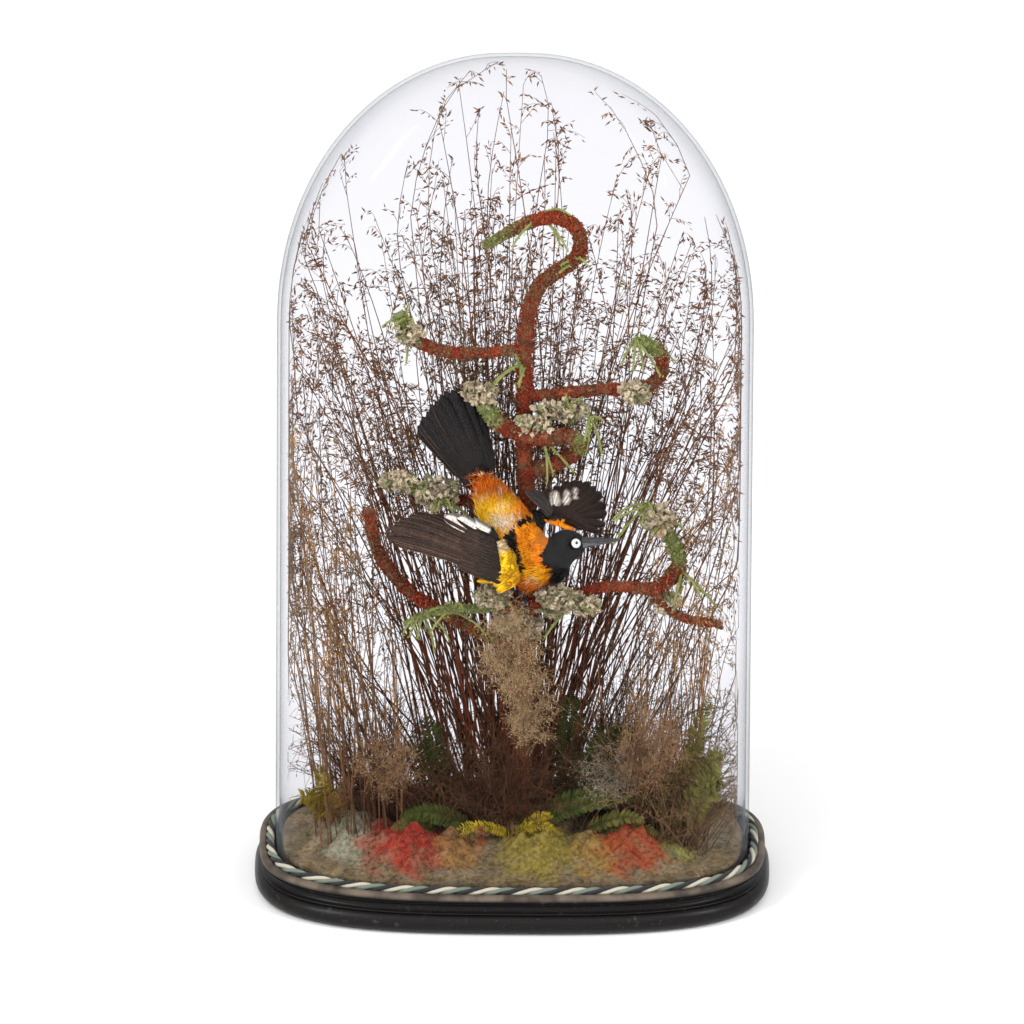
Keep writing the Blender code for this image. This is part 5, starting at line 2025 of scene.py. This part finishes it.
# %% Brushes of heath
BRUSHES = (
    # foot x, foot y, height, spread, lean, stems, colour
    (-0.112, 0.022, 0.150, 0.34, -0.12, 250, UMBER * 0.95),
    (-0.060, 0.012, 0.120, 0.40, 0.05, 160, UMBER * 0.8),
    (0.112, 0.015, 0.160, 0.36, 0.10, 280, FAWN * 0.50),
    (0.070, 0.030, 0.200, 0.30, 0.02, 160, UMBER * 0.7),
    (0.140, -0.020, 0.120, 0.35, 0.18, 160, FAWN * 0.6),
    (-0.010, -0.004, 0.100, 0.55, 0.00, 200, UMBER * 0.75),
)
heath = Thicket(73)
for foot_x, foot_y, height, spread, lean, count, colour in BRUSHES:
    for number in range(count):
        pick = heath.pick
        start = np.array((foot_x + pick.normal(0, 0.012), foot_y + pick.normal(0, 0.008), 0.0))
        start[2] = ground_height(start[0], start[1]) - 0.002
        aim = np.array((lean + pick.normal(0, spread), pick.normal(0, spread * 0.6), 1.0))
        paint = colour * pick.uniform(0.6, 1.5)
        line = heath.line(behind_the_bird(bent(start, aim, height * pick.uniform(0.55, 1.1),
                                               pick.uniform(0, 0.5), 9, pick, 0.16)), 0.00045,
                          0.00022, paint * 0.8, paint * 1.25)
        for twig in range(3):
            at = pick.integers(2, 8)
            heath.line(bent(line[at], line[at + 1] - line[at] + pick.normal(size=3) * 0.012,
                            pick.uniform(0.008, 0.022),
                            0.3, 4, pick, 0.2), 0.00026, 0.00016, paint, paint * 1.4)
            heath.seed(line[at] + pick.normal(0, 0.002, 3), unit(pick.normal(size=(1, 3)) + (0, 0, 1.0))[0],
                       pick.uniform(0.003, 0.0055), paint * 1.3)
heath_brushes = heath.build("heath", 3, seed_shape)
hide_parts("brush_left", "brush_middle", "brush_right")

# %% Frothy bent grass
froth = Thicket(74)
SAND = np.array((0.52, 0.37, 0.20))
FROTHS = (
    # middle of the head, its half size, stems, colour
    ((-0.004, -0.056, 0.238), (0.026, 0.010, 0.046), 112, SAND),
    ((0.014, -0.052, 0.186), (0.024, 0.010, 0.042), 88, SAND * 0.9),
    ((-0.105, -0.048, 0.125), (0.030, 0.014, 0.030), 70, FAWN * 1.1),
    ((0.118, -0.044, 0.140), (0.030, 0.014, 0.040), 100, FAWN * 1.2),
    ((0.080, -0.020, 0.105), (0.026, 0.016, 0.032), 60, BONE * 0.6),
)
for middle, half, count, colour in FROTHS:
    foot = np.array((middle[0] * 0.8, min(middle[1] + 0.035, -0.008), 0.0))
    foot[2] = ground_height(foot[0], foot[1]) - 0.002
    stalks = []
    for number in range(4):
        pick = froth.pick
        head = np.array(middle) + unit(pick.normal(size=(1, 3)))[0] * np.array(half) * 0.55
        share = np.linspace(0, 1, 14)[:, None]
        line = foot + pick.normal(0, 0.006, 3) * (1, 1, 0) + (head - foot) * share
        stalks.append(froth.line(line, 0.00040, 0.00025, WINE * 0.6, WINE))
    for number in range(count):
        pick = froth.pick
        head = np.array(middle) + unit(pick.normal(size=(1, 3)))[0] * np.array(half) * pick.uniform(0.1,
            1.0) ** 0.4
        stalk = stalks[pick.integers(0, 4)]
        joint = stalk[pick.integers(9, 14)]
        froth.line(np.array([joint, (joint + head) / 2 + pick.normal(0, 0.003, 3), head]), 0.0002, 0.00013,
                   colour * 0.5, colour)
        for spray in range(10):
            tip = head + pick.normal(0, 0.0052, 3)
            froth.line(np.array([head, (head + tip) / 2 + pick.normal(0, 0.001, 3), tip]), 0.00012, 0.00010,
                       colour, colour)
            froth.seed(tip, unit(pick.normal(size=(1, 3)))[0], pick.uniform(0.0011, 0.0021),
                       colour * pick.uniform(0.8, 1.4))
froth.build("froth", 3, seed_shape, 2.2)

# %% Fern fronds and leaf sprigs
def leaflet():
    """A small pointed leaf, folded a little along its middle."""
    outline = [(0, 0), (0.13, 0.25), (0.15, 0.5), (0.10, 0.78), (0, 1.0), (-0.10, 0.78), (-0.15, 0.5),
               (-0.13, 0.25)]
    points = [(x, y, abs(x) * 0.5 + layer) for layer in (0.02, -0.02) for x, y in outline]
    points += [(0, 0.5, 0.02), (0, 0.5, -0.02)]
    faces = []
    for k in range(8):
        after = (k + 1) % 8
        faces.append((k, after, 16))
        faces.append((8 + after, 8 + k, 17))
        faces.append((after, k, 8 + k, 8 + after))
    return points, faces


leaf_piece = hidden_source("leaf", *leaflet())
FROND_GREEN = np.array((0.085, 0.115, 0.025))
OLIVE = np.array((0.15, 0.15, 0.04))
SULPHUR = np.array((0.55, 0.42, 0.03))
FRONDS = (
    # foot, direction, length, pairs, leaf size, colour
    ((0.020, -0.006), (0.75, -0.30, 0.60), 0.085, 24, 0.0095, FROND_GREEN),
    ((0.030, 0.000), (0.95, -0.25, 0.62), 0.100, 28, 0.0100, FROND_GREEN),
    ((0.040, 0.004), (0.80, -0.10, 0.90), 0.115, 30, 0.0100, FROND_GREEN * 0.8),
    ((0.060, -0.008), (0.75, -0.20, 0.45), 0.080, 24, 0.0090, OLIVE),
    ((-0.030, -0.006), (-0.75, -0.25, 0.55), 0.080, 24, 0.0095, FROND_GREEN),
    ((-0.060, -0.008), (-0.45, -0.35, 0.40), 0.055, 20, 0.0080, OLIVE),
    ((-0.022, -0.020), (-0.10, -0.60, 0.55), 0.052, 15, 0.0070, RUSSET * 1.6),
    ((0.000, -0.020), (-0.85, -0.35, 0.55), 0.058, 18, 0.0065, SULPHUR * 0.8),
    ((-0.002, -0.022), (0.75, -0.35, 0.60), 0.055, 18, 0.0065, SULPHUR * 0.7),
    ((0.120, -0.005), (0.55, -0.30, 0.80), 0.130, 30, 0.0105, OLIVE * 1.2),
    ((0.140, -0.010), (0.35, -0.25, 1.00), 0.150, 34, 0.0105, OLIVE * 1.5),
    ((0.130, -0.015), (0.55, -0.30, 0.90), 0.140, 32, 0.0100, OLIVE * 1.4),
    ((0.150, -0.020), (0.15, -0.25, 1.00), 0.110, 26, 0.0100, OLIVE * 1.3),
    ((-0.150, 0.000), (-0.16, -0.35, 1.00), 0.100, 20, 0.0090, SULPHUR * 0.6),
    ((-0.155, -0.005), (-0.22, -0.35, 0.70), 0.080, 17, 0.0090, SULPHUR * 0.5),
    ((-0.145, -0.010), (0.05, -0.40, 0.80), 0.070, 16, 0.0080, GOLD * 0.5),
    ((0.050, 0.020), (0.30, -0.10, 1.00), 0.150, 26, 0.016, FROND_GREEN * 0.6),
    ((-0.050, 0.010), (-0.25, -0.10, 1.00), 0.110, 22, 0.014, FROND_GREEN * 0.6),
)
ferns = Thicket(75)
leaf_rows = []
for foot, aim, length, pairs, size, colour in FRONDS:
    for copy in range(2):
        pick = ferns.pick
        start = np.array((foot[0] + pick.normal(0, 0.006) * copy, foot[1] + pick.normal(0, 0.004) * copy,
                          0.0))
        start[2] = ground_height(start[0], start[1]) - 0.001
        turned = np.array(aim) + pick.normal(0, 0.16, 3) * copy
        line = ferns.line(bent(start, turned, length, 0.28, 18, pick, 0.04), 0.0007, 0.0003, colour * 0.7,
                          colour)
        for pair in range(pairs):
            at = (0.14 + 0.86 * pair / pairs) * 17
            spot, forward = along_line(line, at)
            side = unit([np.cross(forward, (0.1, -0.7, 0.6))])[0]
            for sign in (-1, 1):
                taper = math.sin(math.pi * (0.12 + 0.86 * at / 17)) ** 0.6
                lie = forward * 0.55 + side * sign + pick.normal(0, 0.10, 3)
                leaf_rows.append((spot, lie, np.cross(lie, forward) * sign,
                                  size * taper * pick.uniform(0.85, 1.1),
                                  colour * pick.uniform(0.7, 1.35)))
ferns.build("fern", 4)
spots, lies, outs, sizes, colours = (np.array(part) for part in zip(*leaf_rows))
planted("fern_leaves", leaf_piece, keep_inside(spots, 0.016), lies, outs, sizes, colours, straw, spread=0.15,
        seed=12)

# %% Moss sprigs on the tree
sprigs = Thicket(76)
LIME = np.array((0.38, 0.43, 0.14))
SPRIGS = ((45, -4, 437), (62, -6, 428), (24, -10, 412), (112, -8, 350), (128, -6, 330), (100, -4, 500),
          (-90, 2, 515),
          (-60, -4, 350), (48, -34, 268), (-50, -32, 262), (-76, -33, 258), (140, -14, 290), (4, 6, 470),
          (50, 4, 566), (20, 2, 608))
for spot in SPRIGS:
    for number in range(5):
        pick = sprigs.pick
        start = np.array(spot) * MM
        line = sprigs.line(bent(start, pick.normal(size=3) + (0.1, -0.5, -0.1), pick.uniform(0.012, 0.034),
                                0.4, 7, pick, 0.2),
                           0.0014, 0.0009, LIME * 0.6, LIME * 0.8)
        for grain in range(32):
            at = pick.integers(0, 7)
            sprigs.seed(line[at] + pick.normal(0, 0.0013, 3), unit(pick.normal(size=(1, 3)))[0],
                        pick.uniform(0.0015, 0.0030),
                        LIME * pick.uniform(0.4, 1.2))
sprigs.build("moss_sprigs", 5, seed_shape, 2.0)

# %% Crumbs on the ground
CRUMBS = 3600
CRUMB_REACH = 0.97
pick = np.random.default_rng(80)
rim = oval(GROUND_HALF[0] * CRUMB_REACH, GROUND_HALF[1] * CRUMB_REACH, CRUMBS)
flat = rim * np.sqrt(pick.uniform(0, 1, (CRUMBS, 1)))
crumb_height = ground_height(flat[:, 0], flat[:, 1])
crumb_places = np.column_stack([flat, crumb_height])
crumb_colour = ground_colour(flat[:, 0], flat[:, 1]) * pick.uniform(0.5, 1.7, (len(flat), 1))
crumb_size = pick.uniform(0.0004, 0.0013, (len(flat), 1)) * pick.uniform(0.7, 1.2, (len(flat), 3))
planted("ground_crumbs", crumb, crumb_places, pick.normal(size=(len(flat), 3)), np.array((0, 0, 1.0)),
        crumb_size, crumb_colour, earth, spread=3.0, seed=14)
